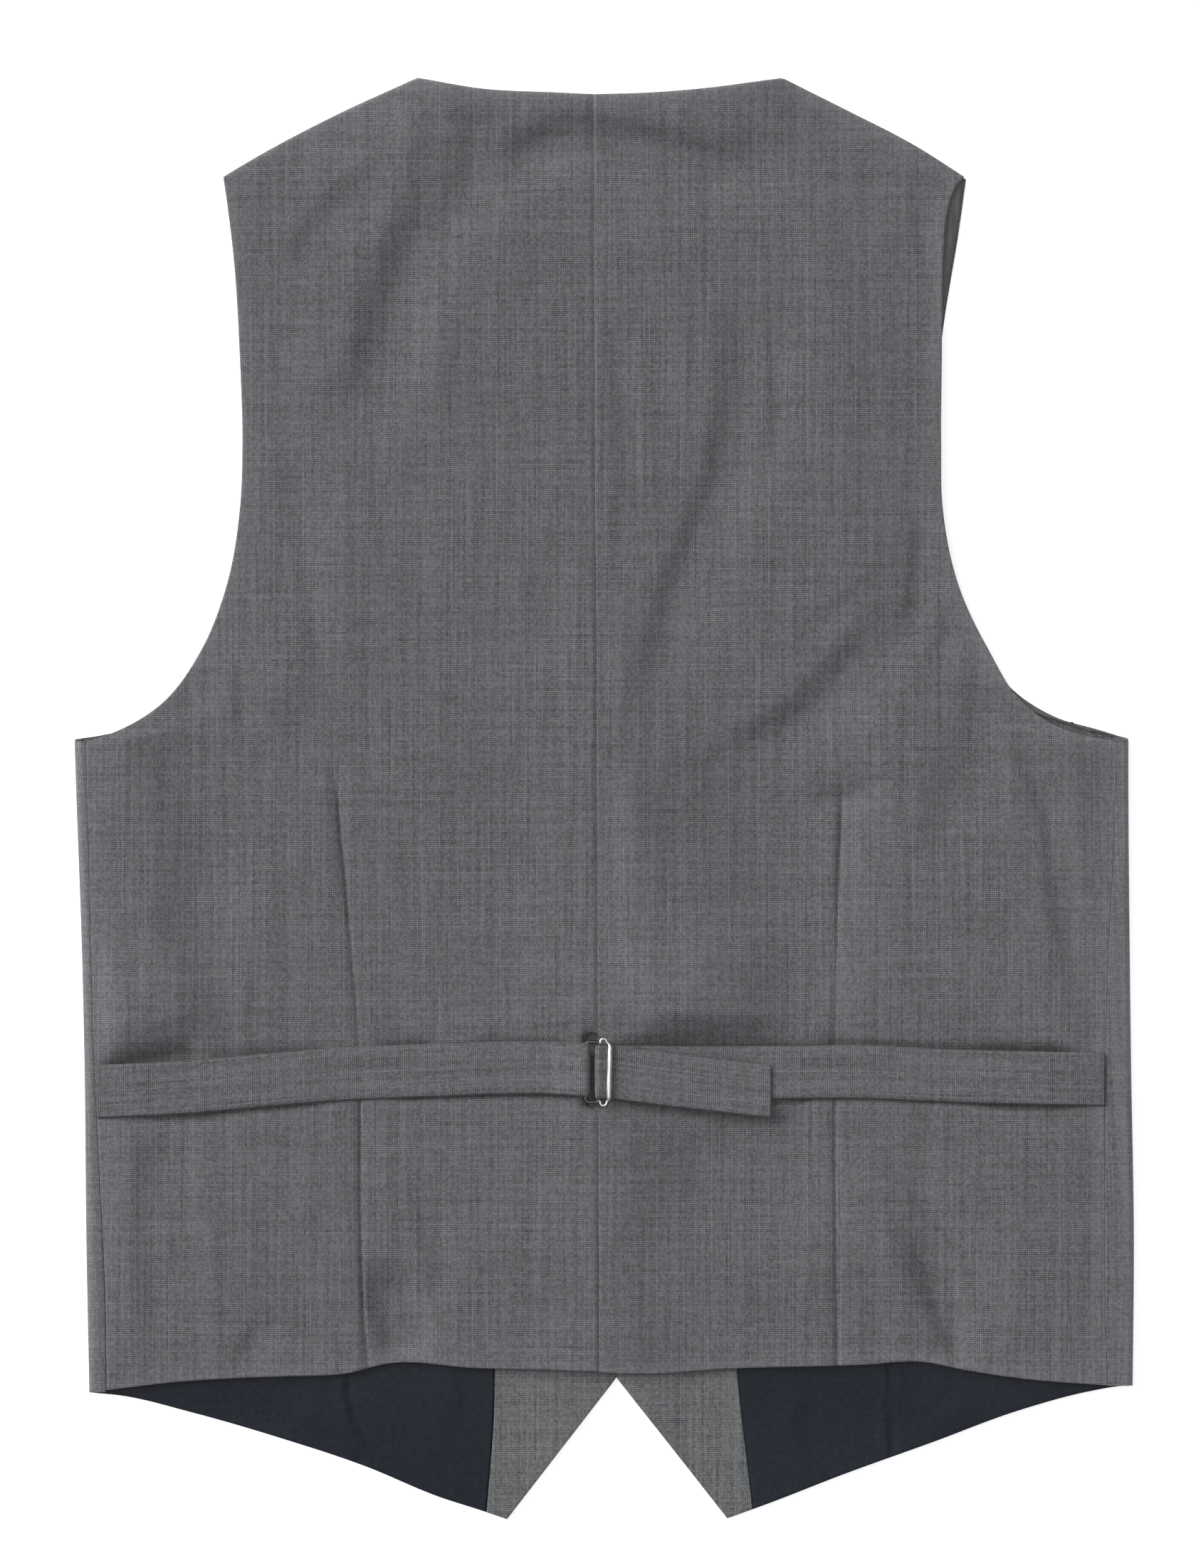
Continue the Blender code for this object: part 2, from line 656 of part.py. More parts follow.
def build():
    """Make every piece of the waistcoat."""
    for old in list(bpy.data.objects):
        bpy.data.objects.remove(old, do_unlink=True)
    collection = bpy.data.collections.new("suit_waistcoat")
    bpy.context.scene.collection.children.link(collection)

    backs = {side: back_grid(side) for side in SIGN}
    fronts = {side: front_grid(side) for side in SIGN}
    for side in SIGN:
        sheet(f"back_{side}", backs[side], BACK_WALL, 1, SUITING, collection)
        sheet(f"front_{side}", fronts[side], FRONT_WALL, -1, SUITING, collection)
        rows = slice(0, LAP_ROWS + 1)
        rise = FRONT_WALL + GAP
        facing = lifted(fronts[side], rows, slice(0, FACING_STEPS + 1), rise, GAP / 2)
        sheet(f"facing_{side}", facing, FACING_WALL, -1, FACING, collection)
        lining_end = FACING_STEPS + LINING_STEPS
        lining = lifted(fronts[side], rows, slice(FACING_STEPS, lining_end + 1), rise, GAP / 2)
        sheet(f"lining_{side}", lining, FACING_WALL, -1, LINING, collection)

    first = sum(row.steps for row in FRONT_EDGE[:5]) + CORNER_STEPS + 1
    rim = slice(FACING_STEPS + LINING_STEPS, FACING_STEPS + LINING_STEPS + FOLD_STEPS + 2)
    strip = lifted(fronts["right"], slice(first, None), rim, FRONT_WALL + GAP, GAP)
    sheet("lining_armhole_right", strip, FACING_WALL, -1, SLEEVE_LINING, collection)

    left_strap(backs["left"], collection)
    right_strap(backs["right"], collection)
    buckle(belt_rows(backs["left"]), belt_rows(backs["right"]), collection)
    for k in range(BUTTON_COUNT):
        button(f"button_{k + 1}", BUTTON_TOP - k * BUTTON_SPACING, collection)


build()
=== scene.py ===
"""Looks of a single-breasted suit waistcoat, laid on its front with its back up.

Every panel is a thin shell of cloth on the form of its solid, with its creases laid in one by
one. Sizes are in millimetres and are turned to metres where a mesh is made. +X is to the
right of someone looking down at the back, +Y runs to the neck and +Z is up.
"""
import logging
import math
from dataclasses import dataclass
from enum import Enum
from typing import Any, Sequence

import bmesh
import bpy
import numpy as np
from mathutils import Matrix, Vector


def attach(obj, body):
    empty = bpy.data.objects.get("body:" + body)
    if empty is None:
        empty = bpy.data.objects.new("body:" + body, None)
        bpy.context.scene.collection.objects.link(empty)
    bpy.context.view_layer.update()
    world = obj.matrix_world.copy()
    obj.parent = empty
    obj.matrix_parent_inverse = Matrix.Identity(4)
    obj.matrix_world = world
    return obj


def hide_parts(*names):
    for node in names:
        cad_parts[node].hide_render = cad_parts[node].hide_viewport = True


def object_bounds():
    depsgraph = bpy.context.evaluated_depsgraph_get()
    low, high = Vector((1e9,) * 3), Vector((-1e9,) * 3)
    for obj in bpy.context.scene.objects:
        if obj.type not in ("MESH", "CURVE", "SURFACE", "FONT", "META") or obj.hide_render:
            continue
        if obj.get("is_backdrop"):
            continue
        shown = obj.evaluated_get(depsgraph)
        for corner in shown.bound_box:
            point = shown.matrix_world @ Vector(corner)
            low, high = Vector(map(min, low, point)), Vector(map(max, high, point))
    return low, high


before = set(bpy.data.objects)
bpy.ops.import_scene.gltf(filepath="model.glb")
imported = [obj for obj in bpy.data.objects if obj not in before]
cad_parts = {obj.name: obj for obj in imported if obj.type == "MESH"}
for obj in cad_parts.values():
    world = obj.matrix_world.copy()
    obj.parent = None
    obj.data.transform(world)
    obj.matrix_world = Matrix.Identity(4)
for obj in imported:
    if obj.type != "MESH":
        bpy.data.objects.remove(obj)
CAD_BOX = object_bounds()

log = logging.getLogger("waistcoat")

MM = 0.001
BODY = "root"

# Cloth walls, the gap kept between pieces that meet, the roll of the side folds, and the fall of
# a turned edge.
CLOTH_WALL = 1.0
BACK_WALL = 1.2
GAP = 0.3
FOLD_RADIUS = 3.2
CLOTH_EDGE = 0.55


class Side(Enum):
    """The half of the garment, by the sign of its X."""

    LEFT = -1
    RIGHT = 1


class Inside(Enum):
    """The cloths that show inside a front, from its edge outward."""

    FACING = "facing"
    LINING = "lining"


def follow(known: Sequence[float], values: Sequence[float], at: Any) -> np.ndarray:
    """Read a smooth line through the known values.

    Args:
        known: Places where the line is known, rising.
        values: The line's values there.
        at: The place or places to read.

    Returns:
        The values at those places.
    """
    known, values = np.asarray(known, float), np.asarray(values, float)
    at = np.clip(np.asarray(at, float), known[0], known[-1])
    slope = np.gradient(values, known)
    k = np.clip(np.searchsorted(known, at, "right") - 1, 0, len(known) - 2)
    span = known[k + 1] - known[k]
    t = (at - known[k]) / span
    blend = t * t * (3 - 2 * t)
    bend = span * t * (1 - t) * ((1 - t) * slope[k] - t * slope[k + 1])
    return values[k] * (1 - blend) + values[k + 1] * blend + bend


def ease(t: Any) -> np.ndarray:
    """A soft step from 0 to 1."""
    t = np.clip(t, 0, 1)
    return t * t * (3 - 2 * t)


def graded(length: float, step: float, near: Sequence[float], far: Sequence[float]) -> np.ndarray:
    """Places along a length, even in the middle and close together at its ends.

    Args:
        length: The whole length.
        step: The even spacing aimed for.
        near: Distances of the close places from the start.
        far: Distances of the close places from the end.

    Returns:
        The places, rising from 0 to the length.
    """
    start, end = near[-1], length - far[-1]
    count = max(2, round((end - start) / step))
    middle = np.linspace(start, end, count + 1)[1:-1]
    return np.concatenate([near, middle, length - np.array(far)[::-1]])


@dataclass(frozen=True)
class Line:
    """A line of the cut, as rows (place, left, right): a distance outward on each side."""

    rows: tuple[tuple[float, float, float], ...]

    def read(self, side: Side, at: Any) -> np.ndarray:
        """Read the line on one side.

        Args:
            side: The half of the garment.
            at: The place or places along the line.

        Returns:
            The readings there.
        """
        column = 1 if side is Side.LEFT else 2
        return follow([row[0] for row in self.rows], [row[column] for row in self.rows], at)

    def trace(self, side: Side, shares: np.ndarray) -> np.ndarray:
        """Points at shares of the line's own length.

        Args:
            side: The half of the garment.
            shares: Shares of the length, from 0 to 1.

        Returns:
            The points (outward, place) there, one row each.
        """
        column = 1 if side is Side.LEFT else 2
        points = np.array([(row[column], row[0]) for row in self.rows], float)
        return trace(points, shares)


def trace(points: np.ndarray, shares: np.ndarray) -> np.ndarray:
    """Points at shares of the length of a smooth line.

    Args:
        points: The points that the line runs through.
        shares: Shares of the length, from 0 to 1.

    Returns:
        The points there, one row each.
    """
    along = np.insert(np.cumsum(np.linalg.norm(np.diff(points, axis=0), axis=1)), 0, 0)
    fine = np.linspace(0, along[-1], 600)
    line = np.column_stack([follow(along, points[:, k], fine) for k in range(points.shape[1])])
    run = np.insert(np.cumsum(np.linalg.norm(np.diff(line, axis=0), axis=1)), 0, 0)
    places = np.asarray(shares) * run[-1]
    return np.column_stack([np.interp(places, run, line[:, k]) for k in range(line.shape[1])])


SIDE_FOLD = Line(((-270, 235.2, 241.4), (-204, 236.5, 242.0), (-120, 237.4, 240.7), (-61, 238.8, 240.0),
                  (4, 241.2, 239.5), (30, 242.0, 239.5)))
SIDE_SEAM = Line(((-270, 227.0, 229.6), (-230, 227.4, 228.4), (-168, 230.2, 228.3), (-122, 232.4, 228.6),
                  (-71, 233.9, 229.9), (-33, 234.8, 231.8), (26, 236.4, 234.3)))
BACK_ARMHOLE = Line(((26, 236.4, 234.3), (28, 230.0, 223.0), (31.5, 221.0, 210.0), (43.5, 202.0, 191.5),
                     (69, 183.4, 175.0), (95, 173.1, 162.7), (134, 166.2, 154.5), (160, 165.2, 153.9),
                     (200, 166.3, 154.2), (250, 169.5, 155.0), (266, 171.4, 156.4), (275, 172.6, 158.5),
                     (281, 173.5, 161.4), (284, 174.0, 164.6)))
FRONT_ARMHOLE = Line(((28.5, 232.0, 235.8), (31.5, 219.0, 226.0), (37, 208.0, 207.0), (50, 193.5, 186.5),
                      (69, 181.0, 172.0), (95, 170.7, 159.5), (134, 163.7, 151.2), (170, 163.0, 150.8),
                      (212, 164.5, 154.6), (262, 169.0, 162.5), (283, 171.5, 165.4)))
CENTRE_SEAM = Line(((-262, 2.4, -2.4), (30, 3.5, -3.5), (322, 4.7, -4.7)))
NECK = Line(((321.6, 4.7, -4.7), (322.4, 22.0, 21.0), (324.2, 56.0, 44.0), (329.2, 85.3, 81.5)))
SHOULDER = Line(((329.2, 85.3, 81.5), (314.5, 118.0, 111.0), (297.5, 151.0, 143.5), (288, 167.5, 158.5),
                 (284, 174.0, 164.6)))
DART = Line(((-262, 107.5, 106.5), (-226, 110, 106.3), (-111, 112, 105.5), (-47, 117, 107),
             (5, 121.5, 109), (60, 122, 110), (150, 112, 104), (240, 98, 93), (329, 85.3, 81.5)))
# Hems, by distance outward: the height of the edge on each side.
BACK_HEM = Line(((-5, -261.5, -261.6), (18, -261.0, -262.6), (60, -260.0, -260.2), (98, -257.9, -259.2),
                 (118, -262.6, -258.6), (145, -263.8, -257.2), (165, -264.5, -261.0), (192, -266.1, -265.0),
                 (232, -270.6, -268.0)))
FRONT_HEM = Line(((44, -329.5, -333.0), (56, -325.4, -329.0), (75, -319.3, -322.2), (109, -305.2, -309.0),
                  (150, -291.6, -294.2), (188, -280.6, -280.1), (222, -272.6, -270.8),
                  (236, -271.4, -268.4), (256, -270.6, -268.0)))
FACING_LINE = Line(((-329.4, 53.7, 67.8), (-291, 50.6, 63.3), (-262, 50.0, 60.8), (-240, 50.0, 60.0),
                    (45, 50.0, 60.0), (180, 78.0, 84.0), (327.5, 118.0, 113.0)))
# The belt's middle line by distance outward, as the straps lie.
BELT = Line(((0, -124.0, -124.6), (28, -122.8, -125.0), (77, -123.9, -124.9), (120, -125.7, -124.8),
             (152, -128.3, -126.3), (188, -131.5, -127.3), (233, -133.8, -128.2)))


@dataclass(frozen=True)
class Crease:
    """A soft crease: a run of points, its height (below 0 for a trough) and its half widths.

    reach is the half width to the left of the run's direction, and across the one to its
    right, which is the same when it is 0. taper is the share of the run over which each end
    fades, down to 0.15 of the height. core is the share of a trough's depth that is in a
    pinched line at its middle, and core_width that line's share of the half widths.
    """

    points: tuple[tuple[float, float], ...]
    height: float
    reach: float
    across: float = 0.0
    taper: float = 0.3
    core: float = 0.0
    core_width: float = 0.4

    def relief(self, x: np.ndarray, y: np.ndarray) -> np.ndarray:
        """The height that the crease adds.

        Args:
            x: Places across the garment.
            y: Places along it.

        Returns:
            The added heights.
        """
        run = trace(np.array(self.points, float), np.linspace(0, 1, 4 * len(self.points)))
        steps = np.diff(run, axis=0)
        lengths = np.hypot(*steps.T)
        starts = np.insert(np.cumsum(lengths), 0, 0)
        nearest = np.full(x.shape, 1e9)
        along = np.zeros(x.shape)
        left = np.zeros(x.shape, bool)
        for start, step, length, passed in zip(run, steps, lengths, starts):
            dx, dy = x - start[0], y - start[1]
            t = np.clip((dx * step[0] + dy * step[1]) / length ** 2, 0, 1)
            away = np.hypot(dx - t * step[0], dy - t * step[1])
            closer = away < nearest
            nearest = np.where(closer, away, nearest)
            along = np.where(closer, (passed + t * length) / starts[-1], along)
            left = np.where(closer, step[0] * dy - step[1] * dx > 0, left)
        width = np.where(left, self.reach, self.across or self.reach)
        ends = ease(np.minimum(along, 1 - along) / self.taper) if self.taper else 1.0
        core = self.core if self.height < 0 else 0.0
        soft = (1 - core) * (1 - ease(nearest / width))
        pinched = core * (1 - ease(nearest / (self.core_width * width)))
        return self.height * (0.15 + 0.85 * ends) * (soft + pinched)


# Creases of the back as it lies, from the neck down: the neck's hollow, drags from the shoulders
# and underarms, hollows at the sides, the fall beside the lapped front edges, the cloth that
# bulges above the belt, and folds above the hem. Most fall steeply on one side and rise again
# slowly on the other.
BACK_CREASES = (
    Crease(((-54, 288), (-34, 295), (-18, 300), (2, 300), (22, 296), (40, 291), (56, 287), (72, 289)),
           -1.75, 16, 22, 0.2),
    Crease(((-44, 290), (-32, 294), (-18, 299)), -0.4, 10, 14),
    Crease(((-2, 299), (14, 297), (30, 292), (46, 287), (64, 286)), -0.9, 14, 20, 0.25),
    Crease(((50, 300), (74, 291), (98, 282), (120, 270), (136, 254)), -0.95, 22, 30),
    Crease(((143, 272), (147, 258), (148, 242)), -0.4, 12, 7),
    Crease(((-56, 318), (-58, 300), (-62, 280), (-68, 256)), -0.75, 26, 15, 0.2),
    Crease(((-88, 322), (-88, 290)), 0.5, 13),
    Crease(((-70, 308), (-76, 288), (-80, 272), (-84, 258), (-90, 242), (-96, 226), (-100, 208), (-107, 192),
            (-115, 176), (-122, 156)), -1.35, 30, 18, 0.42),
    Crease(((-95, 298), (-105, 284), (-117, 274), (-126, 265), (-132, 257), (-137, 246), (-143, 234)),
           -0.62, 22, 11),
    Crease(((-150, 176), (-142, 155), (-141, 135), (-139, 120), (-136, 106), (-132, 85), (-129, 60),
            (-128, 40)), -0.38, 22, 9),
    Crease(((-142, 218), (-146, 206), (-148, 198)), -0.3, 12, 7),
    Crease(((5, 232), (7, 195), (10, 150), (12, 116)), -0.4, 12, 5),
    Crease(((61, 244), (62, 215), (61, 192), (59, 172), (54, 150), (48, 133), (40, 112), (32, 92), (26, 70),
            (22, 48), (20, 24)), -0.84, 28, 12, 0.2),
    Crease(((83, 236), (80, 210), (80, 190), (80, 172), (76, 150)), -0.5, 18, 8),
    Crease(((140, 92), (133, 83), (125, 75), (117, 66), (108, 55), (98, 44), (89, 36), (79, 29), (66, 22),
            (51, 15), (36, 10)), -1.15, 30, 14, 0.35),
    Crease(((148, 142), (146, 120), (144, 102), (142, 88), (137, 77), (131, 68), (124, 57)), -0.42, 16, 8),
    Crease(((140, 100), (124, 97), (112, 90), (102, 82), (84, 66)), -0.3, 16, 8),
    Crease(((160, 88), (155, 70), (147, 56)), -0.4, 14, 8),
    Crease(((168, 58), (170, 36), (166, 15), (161, 0), (155, -20), (150, -38)), -0.72, 26, 18),
    Crease(((184, 49), (188, 31), (193, 16), (198, 5), (203, -10), (206, -40), (210, -60), (213, -74),
            (217, -100)), -0.6, 16, 7),
    Crease(((146, -58), (147, -80), (147, -104)), -0.2, 16, 8),
    Crease(((-192, 44), (-193, 20), (-186, 0), (-181, -20), (-183, -40), (-188, -60), (-192, -84)),
           -0.95, 38, 22, 0.25),
    Crease(((-222, -58), (-217, -74), (-220, -90)), -0.4, 16, 8),
    Crease(((-166, 64), (-165, 27)), -0.5, 12, 6),
    Crease(((-158, 38), (-135, 31), (-120, 22), (-111, 19), (-102, 12), (-90, 0)), -0.75, 16, 10),
    Crease(((-124, 16), (-121, 2)), -0.3, 8, 4),
    Crease(((-28, 114), (-28, 88), (-22, 70)), -0.35, 14, 9),
    Crease(((-28, 256), (-29, 226)), -0.25, 12, 8),
    Crease(((92, 0), (108, 1), (121, 5), (131, 5)), -0.4, 6, 12),
    Crease(((13, 30), (14, -40), (15, -100)), 0.6, 17, 13),
    Crease(((84, 26), (84, -40), (76, -112)), -1.5, 50, 62, 0.25),
    Crease(((8, -160), (40, -166), (80, -166), (124, -158)), -1.2, 26, 60, 0.35),
    Crease(((4, -84), (44, -82), (96, -86)), 1.0, 80, 29, 0.5),
    Crease(((-268, -108), (-232, -104), (-212, -101), (-194, -97), (-174, -97)), 1.5, 60, 19, 0.28),
    Crease(((0, -100), (24, -97), (44, -96), (64, -97), (98, -101)), 2.3, 56, 15, 0.42),
    Crease(((122, -158), (136, -172), (150, -187), (160, -200), (168, -212), (174, -226), (175, -240)),
           -0.95, 16, 8, 0.35),
    Crease(((130, -178), (143, -202), (152, -220), (158, -238), (161, -266)), -1.45, 21, 15, 0.5),
    Crease(((140, -196), (149, -212), (155, -226), (159, -240), (162, -266)), -0.9, 11, 8, 0.4),
    Crease(((-104, -206), (-99, -224), (-95, -238), (-92, -252), (-92, -268)), -1.7, 18, 14, 0.4),
    Crease(((-96, -206), (-89, -224), (-87, -236), (-92, -262)), -0.5, 16, 13, 0.4),
    Crease(((-210, -146), (-205, -162), (-207, -182), (-207, -202), (-205, -220), (-208, -250)),
           -0.7, 24, 12, 0.2),
    Crease(((-81, -180), (-79, -200), (-75, -216), (-77, -232)), -0.4, 16, 8),
    Crease(((-156, -238), (-160, -248), (-168, -262)), -0.45, 14, 7, 0.2),
)

# Hollows of the back along the edges of the belt, which bridges them.
BELT_HOLLOWS = (
    Crease(((-184, -119), (-150, -117), (-118, -115)), -1.5, 8, 6, core=0.5, core_width=0.5),
    Crease(((-230, -137), (-214, -131), (-200, -128), (-184, -126)), -7.0, 20, 10, 0.1),
    Crease(((-104, -114), (-90, -113), (-72, -113)), -1.5, 8, 6, core=0.5, core_width=0.5),
    Crease(((-66, -112), (-40, -112), (-8, -112)), -1.5, 8, 6, core=0.5, core_width=0.5),
    Crease(((-222, -144), (-206, -144), (-186, -142), (-164, -141), (-118, -137)), -1.5, 6, 9, 0.2, 0.5, 0.5),
    Crease(((-200, -144), (-186, -144), (-170, -142)), -1.3, 6, 10, 0.4, 0.5, 0.5),
    Crease(((-98, -135), (-60, -134), (-10, -134)), -1.6, 6, 8, 0.1, 0.5, 0.5),
    Crease(((0, -131), (22, -127), (44, -126), (64, -127), (84, -129), (100, -132)), -8.0, 21, 9, 0.12),
    Crease(((-5.5, -106), (-5.5, -124), (-5.5, -142)), -6.0, 5, taper=0.1),
    Crease(((92, -113), (118, -113), (150, -115), (188, -116), (222, -117)), -1.9, 8, 7, 0.1, 0.5, 0.5),
    Crease(((168, -115), (192, -116), (220, -117)), -1.2, 8, 7, 0.3, 0.5, 0.5),
    Crease(((96, -135), (130, -135), (170, -137), (222, -139)), -1.2, 6, 7, 0.1, 0.5, 0.5),
    Crease(((166, -138), (192, -139), (222, -140)), -1.6, 6, 10, 0.3, 0.5, 0.5),
    Crease(((196, -144), (210, -146), (222, -148)), -0.8, 8, 14, 0.4),
    Crease(((4, -135), (24, -138), (44, -141), (60, -142), (80, -142)), -2.2, 8, 12, 0.15, 0.5, 0.5),
    Crease(((44, -144), (60, -147), (84, -147), (98, -143)), -1.9, 10, 16, 0.3),
    Crease(((74, -137), (84, -137), (94, -137)), -1.6, 5, 8, 0.2, 0.5, 0.5),
)

# Creases of the lining and facing inside the fronts, above the hem: the left dart's tuck runs on
# in a bend, and soft ones lie beside it.
INSIDE_CREASES = {
    Side.LEFT: (
        Crease(((-118.6, -256), (-118.2, -276), (-114.6, -288), (-110.6, -298)), 1.0, 1.5, 4.5, 0.12),
        Crease(((-73, -256), (-68, -270), (-65, -281)), 0.5, 3, 7, 0.3),
        Crease(((-67, -304), (-66.5, -322)), 0.4, 2, 5, 0.3),
        Crease(((-150, -262), (-142, -272), (-139, -284)), -0.35, 9, 6, 0.3),
    ),
    Side.RIGHT: (
        Crease(((129, -256), (128.8, -276), (129.6, -298)), 0.5, 2, 5, 0.2),
        Crease(((156, -258), (158, -270), (150, -284)), -0.35, 8, 6, 0.3),
        Crease(((96, -300), (92, -288), (94, -276)), -0.3, 8, 6, 0.3),
    ),
}

# Creases of the fronts, on the face that the garment lies on and inside above the hem.
FRONT_CREASES = {
    Side.LEFT: (
        Crease(((-150, 60), (-120, 10), (-96, -60)), 0.9, 16),
        Crease(((-190, -20), (-176, -90), (-182, -160)), 0.8, 18),
        Crease(((-70, 210), (-96, 150), (-120, 100)), 0.8, 16),
        Crease(((-84, -308), (-76, -284), (-78, -262)), 0.35, 12),
        Crease(((-140, -292), (-134, -262), (-138, -240)), 0.45, 14),
        Crease(((-186, -280), (-178, -258)), 0.4, 12),
    ),
    Side.RIGHT: (
        Crease(((152, 66), (128, 8), (104, -44)), 0.9, 16),
        Crease(((184, 0), (192, -80), (180, -150)), 0.8, 18),
        Crease(((72, 220), (92, 160), (112, 96)), 0.8, 16),
        Crease(((92, -314), (86, -288), (90, -262)), 0.35, 12),
        Crease(((152, -294), (158, -266), (150, -240)), 0.45, 14),
        Crease(((200, -276), (206, -252)), 0.4, 12),
    ),
}


def ripple(x: np.ndarray, y: np.ndarray, seed: int, amplitude: float, shortest: float,
           longest: float) -> np.ndarray:
    """A small smooth unevenness of cloth that has been worn and pressed.

    Args:
        x: Places across the garment.
        y: Places along it.
        seed: The seed of its waves.
        amplitude: The height of the waves together.
        shortest: The shortest wave.
        longest: The longest wave.

    Returns:
        The heights.
    """
    rng = np.random.default_rng(seed)
    total = np.zeros(np.shape(x))
    waves = 14
    for _ in range(waves):
        length, angle = rng.uniform(shortest, longest), rng.uniform(0, math.pi)
        phase = rng.uniform(0, math.tau)
        total += np.sin(math.tau * (x * math.cos(angle) + y * math.sin(angle)) / length + phase)
    return amplitude * total / math.sqrt(waves)


def roll_off(distance: np.ndarray, reach: float = 1.1, drop: float = CLOTH_EDGE) -> np.ndarray:
    """How far a turned cloth edge falls away, as a quarter round.

    Args:
        distance: Distances from the edge.
        reach: How far in the round begins.
        drop: The fall at the edge itself.

    Returns:
        The falls.
    """
    t = np.clip(1 - distance / reach, 0, 1)
    return drop * (1 - np.sqrt(1 - t * t))


def grid_object(name: str, grid: np.ndarray, grain: np.ndarray, wall: float, facing_up: bool,
                finish: "Finish", painted_rim_light: np.ndarray | None = None) -> bpy.types.Object:
    """A panel of cloth through a grid of points.

    Args:
        name: The piece's name.
        grid: Points in rows, as an array of rows, columns and x, y, z.
        grain: The cloth's own place of each point, as an array of rows, columns and u, v.
        wall: The cloth's thickness.
        facing_up: Whether the grid is the cloth's upper face, with the wall below it.
        finish: The finish.
        painted_rim_light: How much each point's colour is painted brighter, from 0 to 1, as rows
        and columns: a painted highlight for light that catches the cloth's edges and folds.

    Returns:
        The piece's object.
    """
    rows, columns = grid.shape[:2]
    index = np.arange(rows * columns).reshape(rows, columns)
    a, b, c, d = index[:-1, :-1], index[:-1, 1:], index[1:, 1:], index[1:, :-1]
    first = np.cross(grid[0, 1] - grid[0, 0], grid[1, 0] - grid[0, 0])[2]
    corners = (a, b, c, d) if (first > 0) == facing_up else (a, d, c, b)
    faces = np.stack(corners, axis=-1).reshape(-1, 4)
    mesh = bpy.data.meshes.new(name)
    mesh.from_pydata((grid.reshape(-1, 3) * MM).tolist(), [], faces.tolist())
    layer = mesh.uv_layers.new(name="grain")
    vertex = np.empty(len(mesh.loops), int)
    mesh.loops.foreach_get("vertex_index", vertex)
    layer.data.foreach_set("uv", (grain.reshape(-1, 2) * MM)[vertex].ravel())
    if painted_rim_light is not None:
        mesh.attributes.new("painted_rim_light", "FLOAT", "POINT").data.foreach_set("value", painted_rim_light.ravel())
    mesh.shade_smooth()
    obj = bpy.data.objects.new(name, mesh)
    bpy.context.collection.objects.link(obj)
    thick = obj.modifiers.new("wall", "SOLIDIFY")
    thick.thickness = wall * MM
    thick.offset = -1
    mesh.materials.append(finish.material())
    return obj


def settle(obj: bpy.types.Object, slot: str, *nodes: str) -> bpy.types.Object:
    """Join a piece to the frame: it rides on the body and stands for its nodes.

    Args:
        obj: The piece.
        slot: The record's material slot that its finish belongs to. It is not used.
        nodes: The solids that it stands for.

    Returns:
        The same piece.
    """
    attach(obj, BODY)
    if nodes:
        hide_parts(*nodes)
    log.info("%s: %d points", obj.name, len(obj.data.vertices))
    return obj


